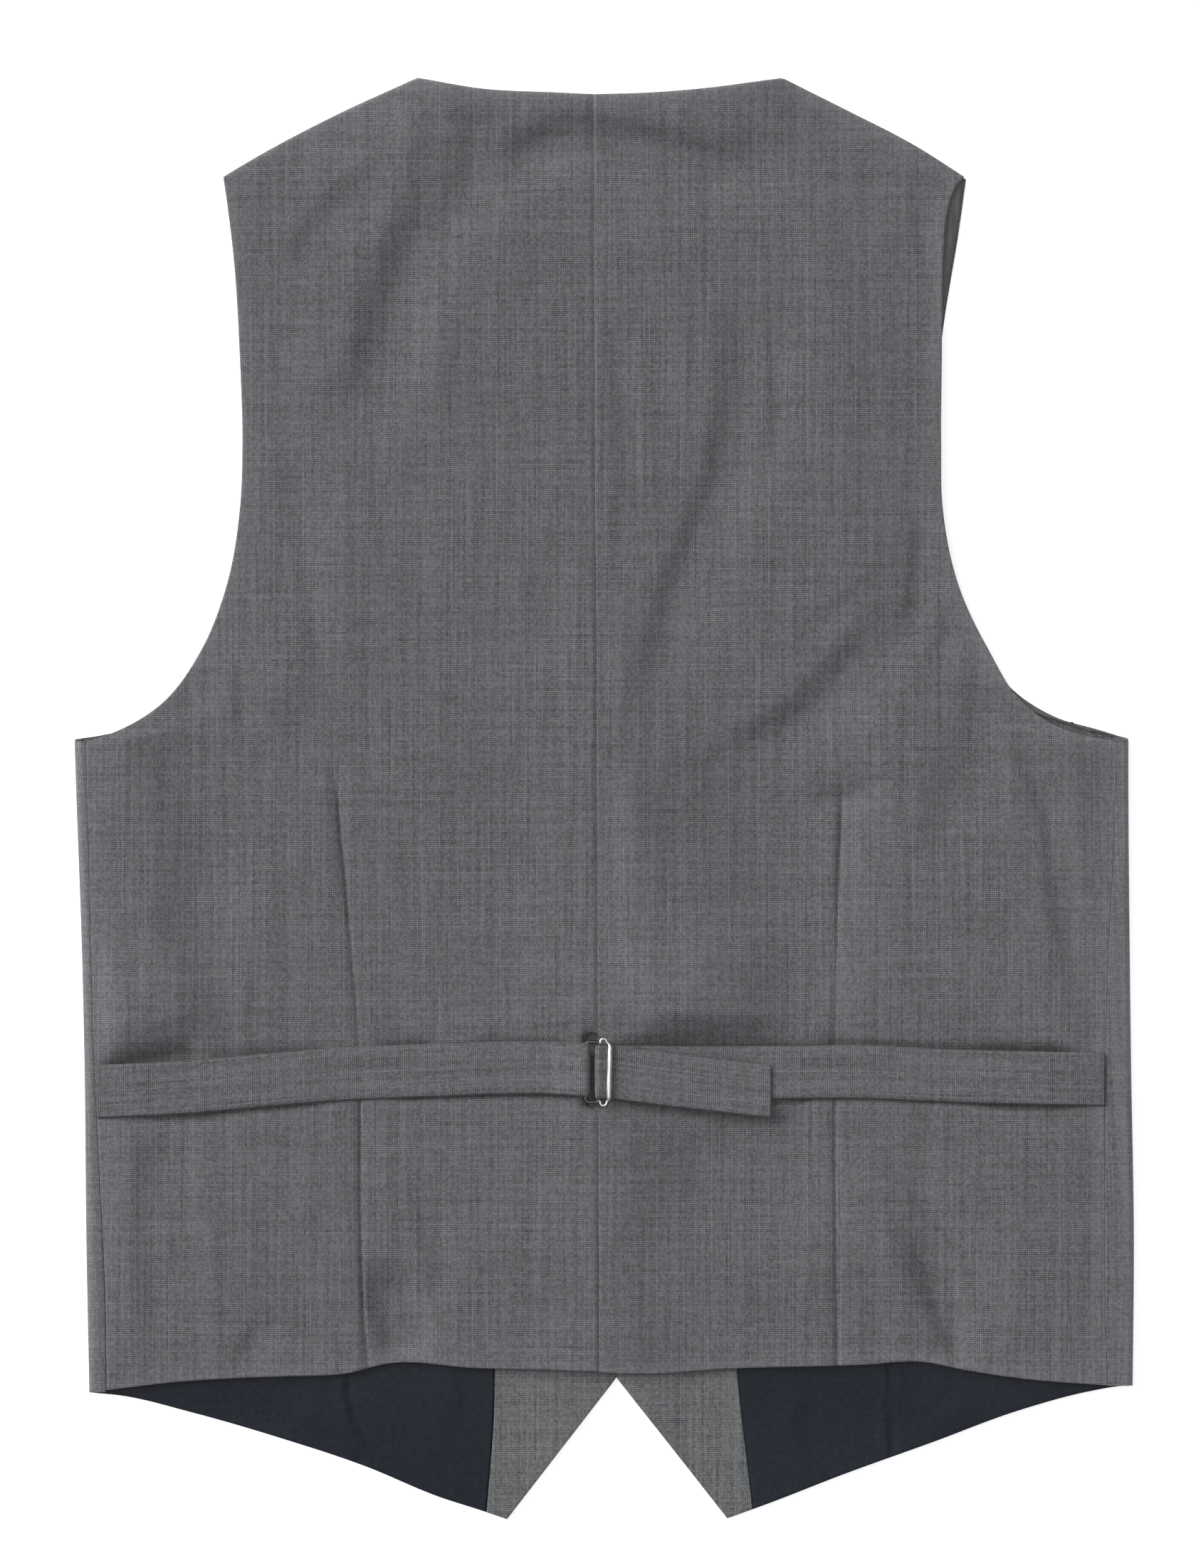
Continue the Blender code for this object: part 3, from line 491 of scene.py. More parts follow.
@dataclass
class BackHalf:
    """Half of the back, from the centre seam to the side seam, armhole and shoulder.

    Its rows run from the centre seam to the outer edge. rows gives the knots that keep them in
    line with the belt: (row number, y at the centre seam, y at the left side seam, at the right).
    """

    side: Side
    step: float = 2.4
    level: float = 8.2
    hem_level: float = 6.0
    armhole_level: float = 5.2
    shoulder_level: float = 4.0
    neck_level: float = 8.0
    hem_reach: float = 60
    armhole_reach: float = 58
    top_reach: float = 42
    side_reach: float = 22
    centre_rise: float = 1.9
    centre_reach: float = 50
    centre_line: float = 5
    hem_rise: float = 2.6
    hem_rise_reach: float = 44
    dart_top: float = 6
    centre_groove: float = 0.65
    centre_flanks: tuple[float, float] = (1.1, 0.45)
    dart_groove: float = 1.3
    dart_flanks: tuple[float, float] = (1.3, 0.6)
    dart_dip: float = 0.55
    dart_dip_reach: float = 7
    side_groove: float = 0.125
    pucker: float = 0.05
    width: float = 230
    dart_share: float = 0.487
    crease_scale: float = 3.1
    hollow_scale: float = 1.5
    lowest: float = 2.7
    seam_gap: float = 0.02
    seam_close: float = 0.24
    rows: tuple[tuple[float, float, float, float], ...] = (
        (0, -261.5, -270.3, -267.8), (6, -136.2, -146.0, -140.3), (7, -123.9, -133.8, -128.2),
        (8, -111.6, -121.6, -116.1), (15, 26, 26, 26), (28, 321.6, 0, 0),
    )
    flat_width_m: float = 0.243
    flat_length_m: float = 0.602
    flat_share: float = 0.82

    def edge_points(self, row: np.ndarray) -> tuple[np.ndarray, np.ndarray]:
        """The ends of rows.

        Args:
            row: Row numbers.

        Returns:
            The points (outward, y) at the centre seam and at the outer edge.
        """
        knots = [line[0] for line in self.rows]
        height = np.interp(row, knots, [line[1] for line in self.rows])
        inner = np.column_stack([CENTRE_SEAM.read(self.side, height) + self.seam_gap, height])
        column = 2 if self.side is Side.LEFT else 3
        seam_y = np.interp(row, knots[:5], [line[column] for line in self.rows[:5]])
        outer = np.column_stack([SIDE_SEAM.read(self.side, seam_y) + self.seam_close, seam_y])
        above = row > knots[4]
        outer[above] = BACK_ARMHOLE.trace(self.side, (row[above] - knots[4]) / (knots[5] - knots[4]))
        return inner, outer

    def layout(self) -> tuple[np.ndarray, np.ndarray, dict[str, np.ndarray]]:
        """Lay out the half in plan.

        Returns:
            The outward distances, the heights along the garment, and the distance of each
            point from the outer edge, the top and the hem, with its row and column share.
        """
        total = self.rows[-1][1] - self.rows[0][1]
        near_hem, near_top = (0, 0.4, 0.9, 1.6, 2.6), (0, 0.5, 1.1, 2.0, 3.2, 4.6)
        along = self.rows[0][1] + graded(total, self.step, near_hem, near_top)
        by_belt = along[(along > self.rows[1][1] - 22) & (along < self.rows[3][1] + 26)]
        along = np.sort(np.concatenate([along, (by_belt[1:] + by_belt[:-1]) / 2]))
        row = np.interp(along, [line[1] for line in self.rows], [line[0] for line in self.rows])
        inner, outer = self.edge_points(row)
        seam = (0, 0.3, 0.7, 1.2, 1.9, 2.8)
        dart = (0, 0.25, 0.6, 1.1, 1.8, 2.8)
        to_dart = self.width * self.dart_share
        first = graded(to_dart, self.step, seam, dart) / to_dart
        rest = self.width - to_dart
        second = graded(rest, self.step, dart, seam)[1:] / rest
        middle = inner[:, 1] + self.dart_share * (outer[:, 1] - inner[:, 1])
        dart_x = DART.read(self.side, middle)[:, None]
        a, b = inner[:, :1], outer[:, :1]
        outward = np.hstack([a + (dart_x - a) * first, dart_x + (b - dart_x) * second])
        share = (outward - a) / (b - a)
        top = np.vstack([NECK.trace(self.side, np.linspace(0, 1, 60)),
                         SHOULDER.trace(self.side, np.linspace(0, 1, 60))[1:]])
        top[0, 0] = inner[-1, 0]
        top_share = (top[:, 0] - top[0, 0]) / (top[-1, 0] - top[0, 0])
        top_bow = top[:, 1] - (top[0, 1] + top_share * (top[-1, 1] - top[0, 1]))
        hem_run = inner[0, 0] + share * (outer[0, 0] - inner[0, 0])
        hem_line = inner[0, 1] + share * (outer[0, 1] - inner[0, 1])
        knots = [line[0] for line in self.rows]
        low = np.clip(1 - row / knots[1], 0, 1)[:, None]
        high = np.clip((row - knots[4]) / (knots[5] - knots[4]), 0, 1)[:, None]
        y = inner[:, 1:] + (outer[:, 1:] - inner[:, 1:]) * share
        y = y + np.interp(share, top_share, top_bow) * high ** 1.5
        y = y + (BACK_HEM.read(self.side, hem_run) - hem_line) * low
        row_gap = (self.rows[-1][1] - self.rows[4][1]) / (knots[5] - knots[4])
        marks = {
            "edge": b - outward,
            "top": np.broadcast_to(((knots[5] - row) * row_gap)[:, None], y.shape),
            "hem": y - BACK_HEM.read(self.side, outward),
            "armhole": np.broadcast_to(ease((row - knots[4]) / 2)[:, None], y.shape),
            "share": share,
        }
        return outward, y, marks

    def height(self, x: np.ndarray, y: np.ndarray, marks: dict[str, np.ndarray],
               hollows: Sequence[Crease] = BELT_HOLLOWS) -> np.ndarray:
        """The height of the upper face, settled towards the levels of its rims.

        Args:
            x: Places across the garment.
            y: Places along it.
            marks: Each point's distances from the edges.
            hollows: The hollows along the belt.

        Returns:
            The heights.
        """
        fold_level = 2 * FOLD_RADIUS
        edge_level = fold_level + (self.armhole_level - fold_level) * marks["armhole"]
        edge_reach = self.side_reach + (self.armhole_reach - self.side_reach) * marks["armhole"]
        outside = ease((marks["share"] - self.dart_share) / 0.24 + 0.5)
        top_level = self.neck_level + (self.shoulder_level - self.neck_level) * outside
        from_button_line = np.abs(x - self.centre_line)
        hem_level = self.hem_level + self.hem_rise * (1 - ease(from_button_line / self.hem_rise_reach))
        pulls = [1 - ease(marks["edge"] / edge_reach), 1 - ease(marks["top"] / self.top_reach),
                 1 - ease(marks["hem"] / self.hem_reach)]
        levels = [edge_level, top_level, hem_level]
        free = (1 - pulls[0]) * (1 - pulls[1]) * (1 - pulls[2])
        fade = 1 - ease((y - 40) / 80)
        rise = self.centre_rise * (1 - ease(from_button_line / self.centre_reach)) * fade
        relief = ripple(x, y, seed=11, amplitude=0.16, shortest=26, longest=80)
        for crease in BACK_CREASES:
            relief = relief + self.crease_scale * crease.relief(x, y)
        for crease in hollows:
            relief = relief + self.hollow_scale * crease.relief(x, y)
        calm = ease(marks["edge"] / 13) * ease(marks["top"] / 11) * ease(marks["hem"] / 9)
        settled = sum(level * pull for level, pull in zip(levels, pulls)) / np.maximum(sum(pulls), 1e-6)
        height = self.level + rise * free + relief * calm + (settled - self.level) * (1 - free) - self.lowest
        return self.lowest + np.where(height > 0.6, height, 0.6 * np.exp(np.minimum(height, 0.6) / 0.6 - 1))

    def seams(self, x: np.ndarray, y: np.ndarray, marks: dict[str, np.ndarray]) -> np.ndarray:
        """The grooves of the seams and dart, with the pucker of their stitches, and the rolled edges.

        Args:
            x: Places across the garment.
            y: Places along it.
            marks: Each point's distances from the edges.

        Returns:
            The heights that they take off.
        """
        past_centre = x - self.side.value * CENTRE_SEAM.read(self.side, y)
        past_dart = x - self.side.value * DART.read(self.side, y)
        from_centre, dart = np.abs(past_centre), np.abs(past_dart)
        in_dart = 1 - ease((y - self.dart_top + 14) / 20)
        crack = np.exp(-(from_centre / np.where(past_centre < 0, *self.centre_flanks)) ** 2)
        fall = self.centre_groove * crack
        firm = 0.55 + 0.45 * ease((y + 62) / 24) + 0.35 * (1 - ease((y + 140) / 20))
        notch = np.exp(-(dart / np.where(past_dart < 0, *self.dart_flanks)) ** 2)
        fall = fall + self.dart_groove * firm * notch * in_dart
        fall = fall + self.side_groove * np.exp(-(marks["edge"] / 0.8) ** 2) * (1 - marks["armhole"])
        dip = self.dart_dip * (1 - ease(dart / self.dart_dip_reach)) * in_dart
        fall = fall + dip * (0.5 + 0.9 * ease((y + 90) / 70))
        pucker = self.pucker * (np.exp(-(from_centre / 4) ** 2) + np.exp(-(dart / 4) ** 2) * in_dart)
        fall = fall + pucker * (np.sin(y / 1.1) + np.sin(y / 0.67 + 1.3))
        fall = fall + roll_off(marks["edge"]) * marks["armhole"]
        return fall + roll_off(marks["top"], reach=2.6, drop=1.0) + roll_off(marks["hem"])

    def build(self, finish: "Finish") -> bpy.types.Object:
        """Make the half.

        Args:
            finish: Its cloth.

        Returns:
            The piece's object.
        """
        outward, y, marks = self.layout()
        x = self.side.value * outward
        z = self.height(x, y, marks) - self.seams(x, y, marks)
        name = f"back_{self.side.name.lower()}"
        # Painted highlight: the colour is made brighter near the neck, shoulders, outer edges and hem, for
        # light that catches the cloth's rims.
        painted_rim_light = np.maximum(np.exp(-marks["top"] / 5), 0.8 * np.exp(-marks["edge"] / 5))
        painted_rim_light = np.maximum(painted_rim_light, 0.6 * np.exp(-np.maximum(marks["hem"], 0) / 4))
        obj = grid_object(name + "_cloth", np.dstack([x, y, z]), np.dstack([x, y]), BACK_WALL, True,
                          finish, painted_rim_light)
        settle(obj, "suiting", name)
        return obj

    def seat(self, x: np.ndarray, y: np.ndarray) -> np.ndarray:
        """The height of the upper face where the belt lies on it.

        Args:
            x: Places across the garment.
            y: Places along it.

        Returns:
            The heights.
        """
        zero = np.zeros(np.shape(x))
        marks = {"edge": SIDE_SEAM.read(self.side, y) - np.abs(x), "top": zero + self.width,
                 "hem": zero + self.width, "armhole": zero, "share": zero}
        return self.height(x, y, marks, ())


@dataclass
class Front:
    """One front, unrolled: from its front edge, round the side fold, to the side seam on top.

    stations gives (row number, y, the left front's edge, the right one's) and seam_rows gives
    (row number, y at the side seam).
    """

    side: Side
    step: float = 3.0
    fold_steps: int = 14
    ridge: float = 2.8
    lap: float = 1.5
    lap_over_facing: float = 1.3
    least_seam: float = 2.5
    shoulder_lip: float = 1.5
    stations: tuple[tuple[float, float, float, float], ...] = (
        (0, -329.4, 44.4, 56.2), (4, -264.6, -5.7, 5.7), (6, -240, -17.5, -7.5), (7, -215, -20.0, -10.0),
        (14, 45, -20.0, -10.0), (18, 62, -15.0, -3.0), (23, 180, 30.0, 36.0), (30, 327.5, 83.5, 79.5),
    )
    seam_rows: tuple[tuple[float, float], ...] = ((0, -269.3), (4, -256), (6, -240), (7, -215), (14, 26))
    corner_row: float = 18
    creases: tuple[Crease, ...] = ()
    flat_width_m: float = 0.285
    flat_length_m: float = 0.665
    flat_share: float = 0.66

    def fold_start(self, y: Any) -> np.ndarray:
        """The outward distance where the side fold begins."""
        return SIDE_FOLD.read(self.side, y) - FOLD_RADIUS

    def seam_run(self, y: Any) -> np.ndarray:
        """The unrolled distance of the side seam, less the gap at the seam."""
        start = self.fold_start(y)
        return 2 * start + math.pi * FOLD_RADIUS - SIDE_SEAM.read(self.side, y) - GAP

    def edge_points(self, row: np.ndarray) -> tuple[np.ndarray, np.ndarray]:
        """The ends of rows.

        Args:
            row: Row numbers.

        Returns:
            The points (unrolled distance, y) at the front edge and at the outer edge.
        """
        knots = [line[0] for line in self.stations]
        column = 2 if self.side is Side.LEFT else 3
        inner = np.column_stack([np.interp(row, knots, [line[column] for line in self.stations]),
                                 np.interp(row, knots, [line[1] for line in self.stations])])
        seam_y = np.interp(row, [r for r, _ in self.seam_rows], [y for _, y in self.seam_rows])
        outer = np.column_stack([self.seam_run(seam_y), seam_y])
        last, corner = self.seam_rows[-1][0], self.corner_row
        end = np.array([self.seam_run(self.seam_rows[-1][1]), self.seam_rows[-1][1]])
        armhole = FRONT_ARMHOLE.trace(self.side, np.clip((row - corner) / (knots[-1] - corner), 0, 1))
        turning = (row > last) & (row <= corner)
        share = ((row - last) / (corner - last))[:, None]
        outer = np.where(turning[:, None], end + (armhole[0] - end) * share, outer)
        outer = np.where((row > corner)[:, None], armhole, outer)
        return inner, outer

    def layout(self, row: np.ndarray, zones: Sequence[np.ndarray]) -> tuple[np.ndarray, np.ndarray]:
        """Lay out rows of the unrolled front.

        Args:
            row: Row numbers.
            zones: Shares of the facing, the lining, the fold and the strip on top, each
                rising from 0 to 1 or empty.

        Returns:
            The unrolled distances and the heights along the garment.
        """
        inner, outer = self.edge_points(row)
        start = self.fold_start(outer[:, 1])
        seam = np.maximum(self.least_seam, start - SIDE_SEAM.read(self.side, outer[:, 1]))
        facing = FACING_LINE.read(self.side, inner[:, 1])
        fold = outer[:, 0] - seam - math.pi * FOLD_RADIUS
        stops = np.column_stack([inner[:, 0], facing, fold, outer[:, 0] - seam, outer[:, 0]])
        parts = [stops[:, k:k + 1] + (stops[:, k + 1:k + 2] - stops[:, k:k + 1]) * shares
                 for k, shares in enumerate(zones) if len(shares)]
        run = np.hstack(parts)
        share = (run - inner[:, :1]) / (outer[:, :1] - inner[:, :1])
        y = inner[:, 1:] + share * (outer[:, 1:] - inner[:, 1:])
        first_in, first_out = self.edge_points(np.zeros(1))
        hem_run = first_in[0, 0] + share * (first_out[0, 0] - first_in[0, 0])
        hem_line = first_in[0, 1] + share * (first_out[0, 1] - first_in[0, 1])
        notch_row = self.stations[1][0]
        low = np.clip(1 - row / notch_row, 0, 1)[:, None]
        return run, y + (FRONT_HEM.read(self.side, hem_run) - hem_line) * low

    def lift(self, x: np.ndarray, y: np.ndarray) -> np.ndarray:
        """How far the front is off the surface: over the buttons, the other front and its creases.

        Args:
            x: Places across the garment.
            y: Places along it.

        Returns:
            The heights.
        """
        total = self.ridge * np.interp(x, (-20, -10, 20, 40), (0, 1, 1, 0))
        total = total * np.interp(y, (-240, -215, 45, 75), (0, 1, 1, 0))
        if self.side is Side.RIGHT:
            over = self.lap + self.lap_over_facing * np.interp(y, (-240, -215), (1, 0))
            total = total + over * np.interp(x, (20, 40), (1, 0)) * np.interp(y, (95, 140), (1, 0))
        away = ease((np.abs(x) - 40) / 30) * ease((232 - np.abs(x)) / 16)
        for crease in self.creases:
            total = total + np.maximum(crease.relief(x, y), 0) * away
        return total

    def place(self, run: np.ndarray, y: np.ndarray, off: Any = 0.0) -> np.ndarray:
        """Roll unrolled points up: on the surface, round the fold, or on top.

        Args:
            run: Unrolled distances.
            y: Heights along the garment.
            off: How far inside the outer face the points lie.

        Returns:
            The points x, y, z, stacked on the last axis.
        """
        start = self.fold_start(y)
        turn = np.clip((run - start) / FOLD_RADIUS, 0, math.pi)
        radius = FOLD_RADIUS - off
        outward = np.where(run <= start, run, start + radius * np.sin(turn))
        past = run - start - math.pi * FOLD_RADIUS
        outward = np.where(past > 0, start - past, outward)
        x = self.side.value * outward
        z = FOLD_RADIUS - radius * np.cos(turn)
        flat = np.where(run <= start, self.lift(x, y), 0.0)
        return np.dstack([x, y, z + flat])

    def build(self, finish: "Finish") -> bpy.types.Object:
        """Make the front's cloth.

        Args:
            finish: Its cloth.

        Returns:
            The piece's object.
        """
        length = self.stations[-1][1] - self.stations[0][1]
        along = graded(length, self.step, (0, 0.5, 1.2, 2.2), (0, 0.6, 1.4, 2.6, 4))
        row = np.interp(self.stations[0][1] + along, [line[1] for line in self.stations],
                        [line[0] for line in self.stations])
        zones = [np.linspace(0, 1, 18), np.linspace(0, 1, 58)[1:], np.linspace(0, 1, self.fold_steps + 1)[1:],
                 np.array([0.25, 0.5, 0.7, 0.85, 0.94, 1.0])]
        run, y = self.layout(row, zones)
        points = self.place(run, y)
        on_top = np.clip((run - self.fold_start(y) - 2.6 * FOLD_RADIUS) / FOLD_RADIUS, 0, 1)
        from_seam = run[:, -1:] - run
        uneven = ripple(points[:, :, 0], y, seed=23, amplitude=0.08, shortest=12, longest=40)
        points[:, :, 2] -= (roll_off(from_seam, reach=0.8, drop=0.16) + uneven) * on_top
        from_top = (along[-1] - along)[:, None]
        points[:, :, 2] += self.shoulder_lip * (1 - ease(from_top / 5)) * (1 - on_top)
        name = f"front_{self.side.name.lower()}"
        grain = np.dstack([self.side.value * run, y])
        # Painted highlight: the colour is made brighter along the crest of the side fold, for light that
        # catches it.
        painted_rim_light = np.exp(-np.maximum(np.abs(run - self.fold_start(y) - 1.8 * FOLD_RADIUS) - 4, 0) / 3)
        obj = grid_object(name + "_cloth", points, grain, CLOTH_WALL, False, finish, painted_rim_light)
        settle(obj, "suiting", name)
        return obj


@dataclass
class HemInside:
    """The inside of a front below the back's hem: its facing, and its lining to the hem edge."""

    front: Front
    step: float = 2.2
    facing_width: float = 60
    lining_width: float = 178
    rise: float = CLOTH_WALL + GAP
    dart: Line = Line(((-330, 111.0, 133.0), (-300, 113.0, 132.4), (-284, 116.3, 131.6),
                       (-240, 117.0, 130.0)))
    dart_depth: float = 0.9
    creases: tuple[Crease, ...] = ()

    def upper_face(self, run: np.ndarray, y: np.ndarray) -> np.ndarray:
        """The points of the upper face, above the front's cloth.

        Args:
            run: Unrolled distances.
            y: Heights along the garment.

        Returns:
            The points x, y, z, stacked on the last axis.
        """
        points = self.front.place(run, y)
        from_hem = y - FRONT_HEM.read(self.front.side, run)
        x = points[:, :, 0]
        points[:, :, 2] += self.rise + CLOTH_WALL - roll_off(from_hem, reach=1.0, drop=0.28)
        for crease in self.creases:
            points[:, :, 2] += crease.relief(x, y) * ease(from_hem / 6)
        return points

    def strip(self, cloth: Inside, finish: "Finish") -> bpy.types.Object:
        """Make the facing or the lining.

        Args:
            cloth: Which of the two.
            finish: Its finish.

        Returns:
            The piece's object.
        """
        top = self.front.stations[2][1]
        along = graded(top - self.front.stations[0][1], self.step, (0.15, 0.5, 1.0, 1.8), (0, 1))
        row = np.interp(self.front.stations[0][1] + along, [line[1] for line in self.front.stations],
                        [line[0] for line in self.front.stations])
        is_facing = cloth is Inside.FACING
        length = self.facing_width if is_facing else self.lining_width
        shares = graded(length, self.step, (GAP / 2, 0.5, 1.0, 1.8), (GAP / 2, 0.5, 1.0, 1.8)) / length
        run, y = self.front.layout(row, [shares, []] if is_facing else [[], shares])
        points = self.upper_face(run, y)
        from_edge = run - run[:, :1]
        if is_facing:
            from_edge = np.minimum(from_edge, run[:, -1:] - run)
        points[:, :, 2] -= roll_off(from_edge, reach=0.9, drop=0.3)
        if not is_facing:
            to_dart = run - self.dart.read(self.front.side, y)
            points[:, :, 2] -= self.dart_depth * np.exp(-(to_dart / 0.7) ** 2)
            points[:, :, 2] += 0.25 * np.exp(-((to_dart - 2.4) / 1.6) ** 2)
        side = self.front.side.name.lower()
        name = f"{cloth.value}_{side}"
        grain = np.dstack([self.front.side.value * run, y])
        obj = grid_object(name + "_cloth", points, grain, CLOTH_WALL, True, finish)
        settle(obj, "suiting" if is_facing else "lining", name)
        return obj


@dataclass
class ArmholeLining:
    """The satin inside the right armhole, where it shows beyond the back's edge."""

    front: Front
    first_row: float = 18.1
    step: float = 2.0
    rise: float = CLOTH_WALL + GAP
    edge_inset: float = 1.0
    stitch_rows: tuple[float, float] = (18.3, 29.8)
    stitch_inset: float = 0.45
    stitch_lift: float = 0.12
    creases: tuple[Crease, ...] = (
        Crease(((157.5, 276), (158.8, 262), (158, 250)), 0.35, 2.0),
        Crease(((161, 272), (160.2, 258)), -0.3, 1.6),
        Crease(((200, 42), (206, 34)), 0.3, 3.0),
        Crease(((214, 36), (218, 29)), -0.35, 2.6),
        Crease(((222, 34), (228, 28)), 0.4, 2.4),
    )

    def build(self, finish: "Finish") -> bpy.types.Object:
        """Make the lining strip.

        Args:
            finish: Its satin.

        Returns:
            The piece's object.
        """
        last = self.front.stations[-1][0]
        length = 24.5 * (last - self.first_row)
        along = graded(length, self.step, (0, 1.0, 2.0), (0.3, 1.0))
        row = self.first_row + along / length * (last - self.first_row)
        run, y = self.front.layout(row, [[], [], np.linspace(0, 1, 12), np.linspace(0, 1, 6)[1:]])
        inner, outer = run[:, :1], run[:, -1:]
        run = inner + GAP + (run - inner) * (outer - inner - GAP - self.edge_inset) / (outer - inner)
        points = self.front.place(run, y)
        points[:, :, 2] += self.rise + CLOTH_WALL - roll_off(run[:, -1:] - run, reach=1.6, drop=0.6)
        points[:, :, 2] += ripple(points[:, :, 0], y, seed=31, amplitude=0.12, shortest=5, longest=16)
        for crease in self.creases:
            points[:, :, 2] += crease.relief(points[:, :, 0], y)
        obj = grid_object("armhole_lining_right", points, np.dstack([run, y]), CLOTH_WALL, True, finish)
        settle(obj, "armhole_lining", "lining_armhole_right")
        return obj

    def stitch_run(self) -> np.ndarray:
        """Lay the run of stitches that hold the satin back from the cloth's edge.

        Returns:
            The run's points.
        """
        row = np.linspace(*self.stitch_rows, 160)
        run, y = self.front.layout(row, [[], [], [], np.array([0.0, 1.0])])
        points = self.front.place(run[:, 1:] - self.stitch_inset, y[:, 1:])[:, 0]
        points[:, 2] += CLOTH_WALL + self.stitch_lift
        return points


def tube(name: str, rings: np.ndarray, closed: bool, finish: "Finish",
         grain: np.ndarray | None = None) -> bpy.types.Object:
    """A solid skinned over rings of points, with capped ends unless it closes on itself.

    Args:
        name: The piece's name.
        rings: Rings of points, as an array of rings, points and x, y, z.
        closed: Whether the last ring joins the first.
        finish: The finish.
        grain: The finish's own place of each point, as an array of rings, points and u, v.

    Returns:
        The piece's object.
    """
    count, around = rings.shape[:2]
    bm = bmesh.new()
    verts = [[bm.verts.new(point) for point in ring] for ring in (rings * MM).tolist()]
    pairs = list(zip(verts, verts[1:])) + ([(verts[-1], verts[0])] if closed else [])
    for low, high in pairs:
        for k in range(around):
            bm.faces.new((low[k - 1], low[k], high[k], high[k - 1]))
    if not closed:
        bm.faces.new(verts[0])
        bm.faces.new(verts[-1])
    bmesh.ops.recalc_face_normals(bm, faces=bm.faces[:])
    for face in bm.faces:
        face.smooth = len(face.verts) == 4
    if grain is not None:
        layer = bm.loops.layers.uv.new("grain")
        bm.verts.index_update()
        places = (grain.reshape(-1, 2) * MM).tolist()
        for face in bm.faces:
            for loop in face.loops:
                loop[layer].uv = places[loop.vert.index]
    mesh = bpy.data.meshes.new(name)
    bm.to_mesh(mesh)
    bm.free()
    mesh.materials.append(finish.material())
    obj = bpy.data.objects.new(name, mesh)
    bpy.context.collection.objects.link(obj)
    return obj


def wire_rings(points: np.ndarray, radii: np.ndarray, closed: bool, around: int = 16) -> np.ndarray:
    """Rings of a round wire along a route.

    Args:
        points: The route's points.
        radii: The wire's radius at each.
        closed: Whether the route closes on itself.
        around: Points in each ring.

    Returns:
        The rings, as an array of rings, points and x, y, z.
    """
    if closed:
        ahead, behind = np.roll(points, -1, axis=0), np.roll(points, 1, axis=0)
        tangent = ahead - behind
    else:
        tangent = np.gradient(points, axis=0)
    tangent = tangent / np.linalg.norm(tangent, axis=1, keepdims=True)
    up = np.array((0.0, 0.0, 1.0))
    sideways = np.cross(tangent, up)
    sideways = sideways / np.linalg.norm(sideways, axis=1, keepdims=True)
    over = np.cross(sideways, tangent)
    angle = np.linspace(0, math.tau, around, endpoint=False)[None, :, None]
    spoke = sideways[:, None] * np.cos(angle) + over[:, None] * np.sin(angle)
    return points[:, None] + spoke * np.asarray(radii)[:, None, None]


def turn_round(wire_x: float, radius: float, lift: float, first: float,
               last: float) -> list[tuple[float, float]]:
    """Stations (x, height over the back) of a strap that turns round a wire.

    Args:
        wire_x: The wire's place.
        radius: The turn's radius, to the strap's middle.
        lift: The wire's height over the back.
        first: The angle in degrees where the turn starts.
        last: The angle where it ends.

    Returns:
        The stations.
    """
    angles = np.radians(np.linspace(first, last, 13))
    return [(wire_x + radius * math.cos(a), lift + radius * math.sin(a)) for a in angles]


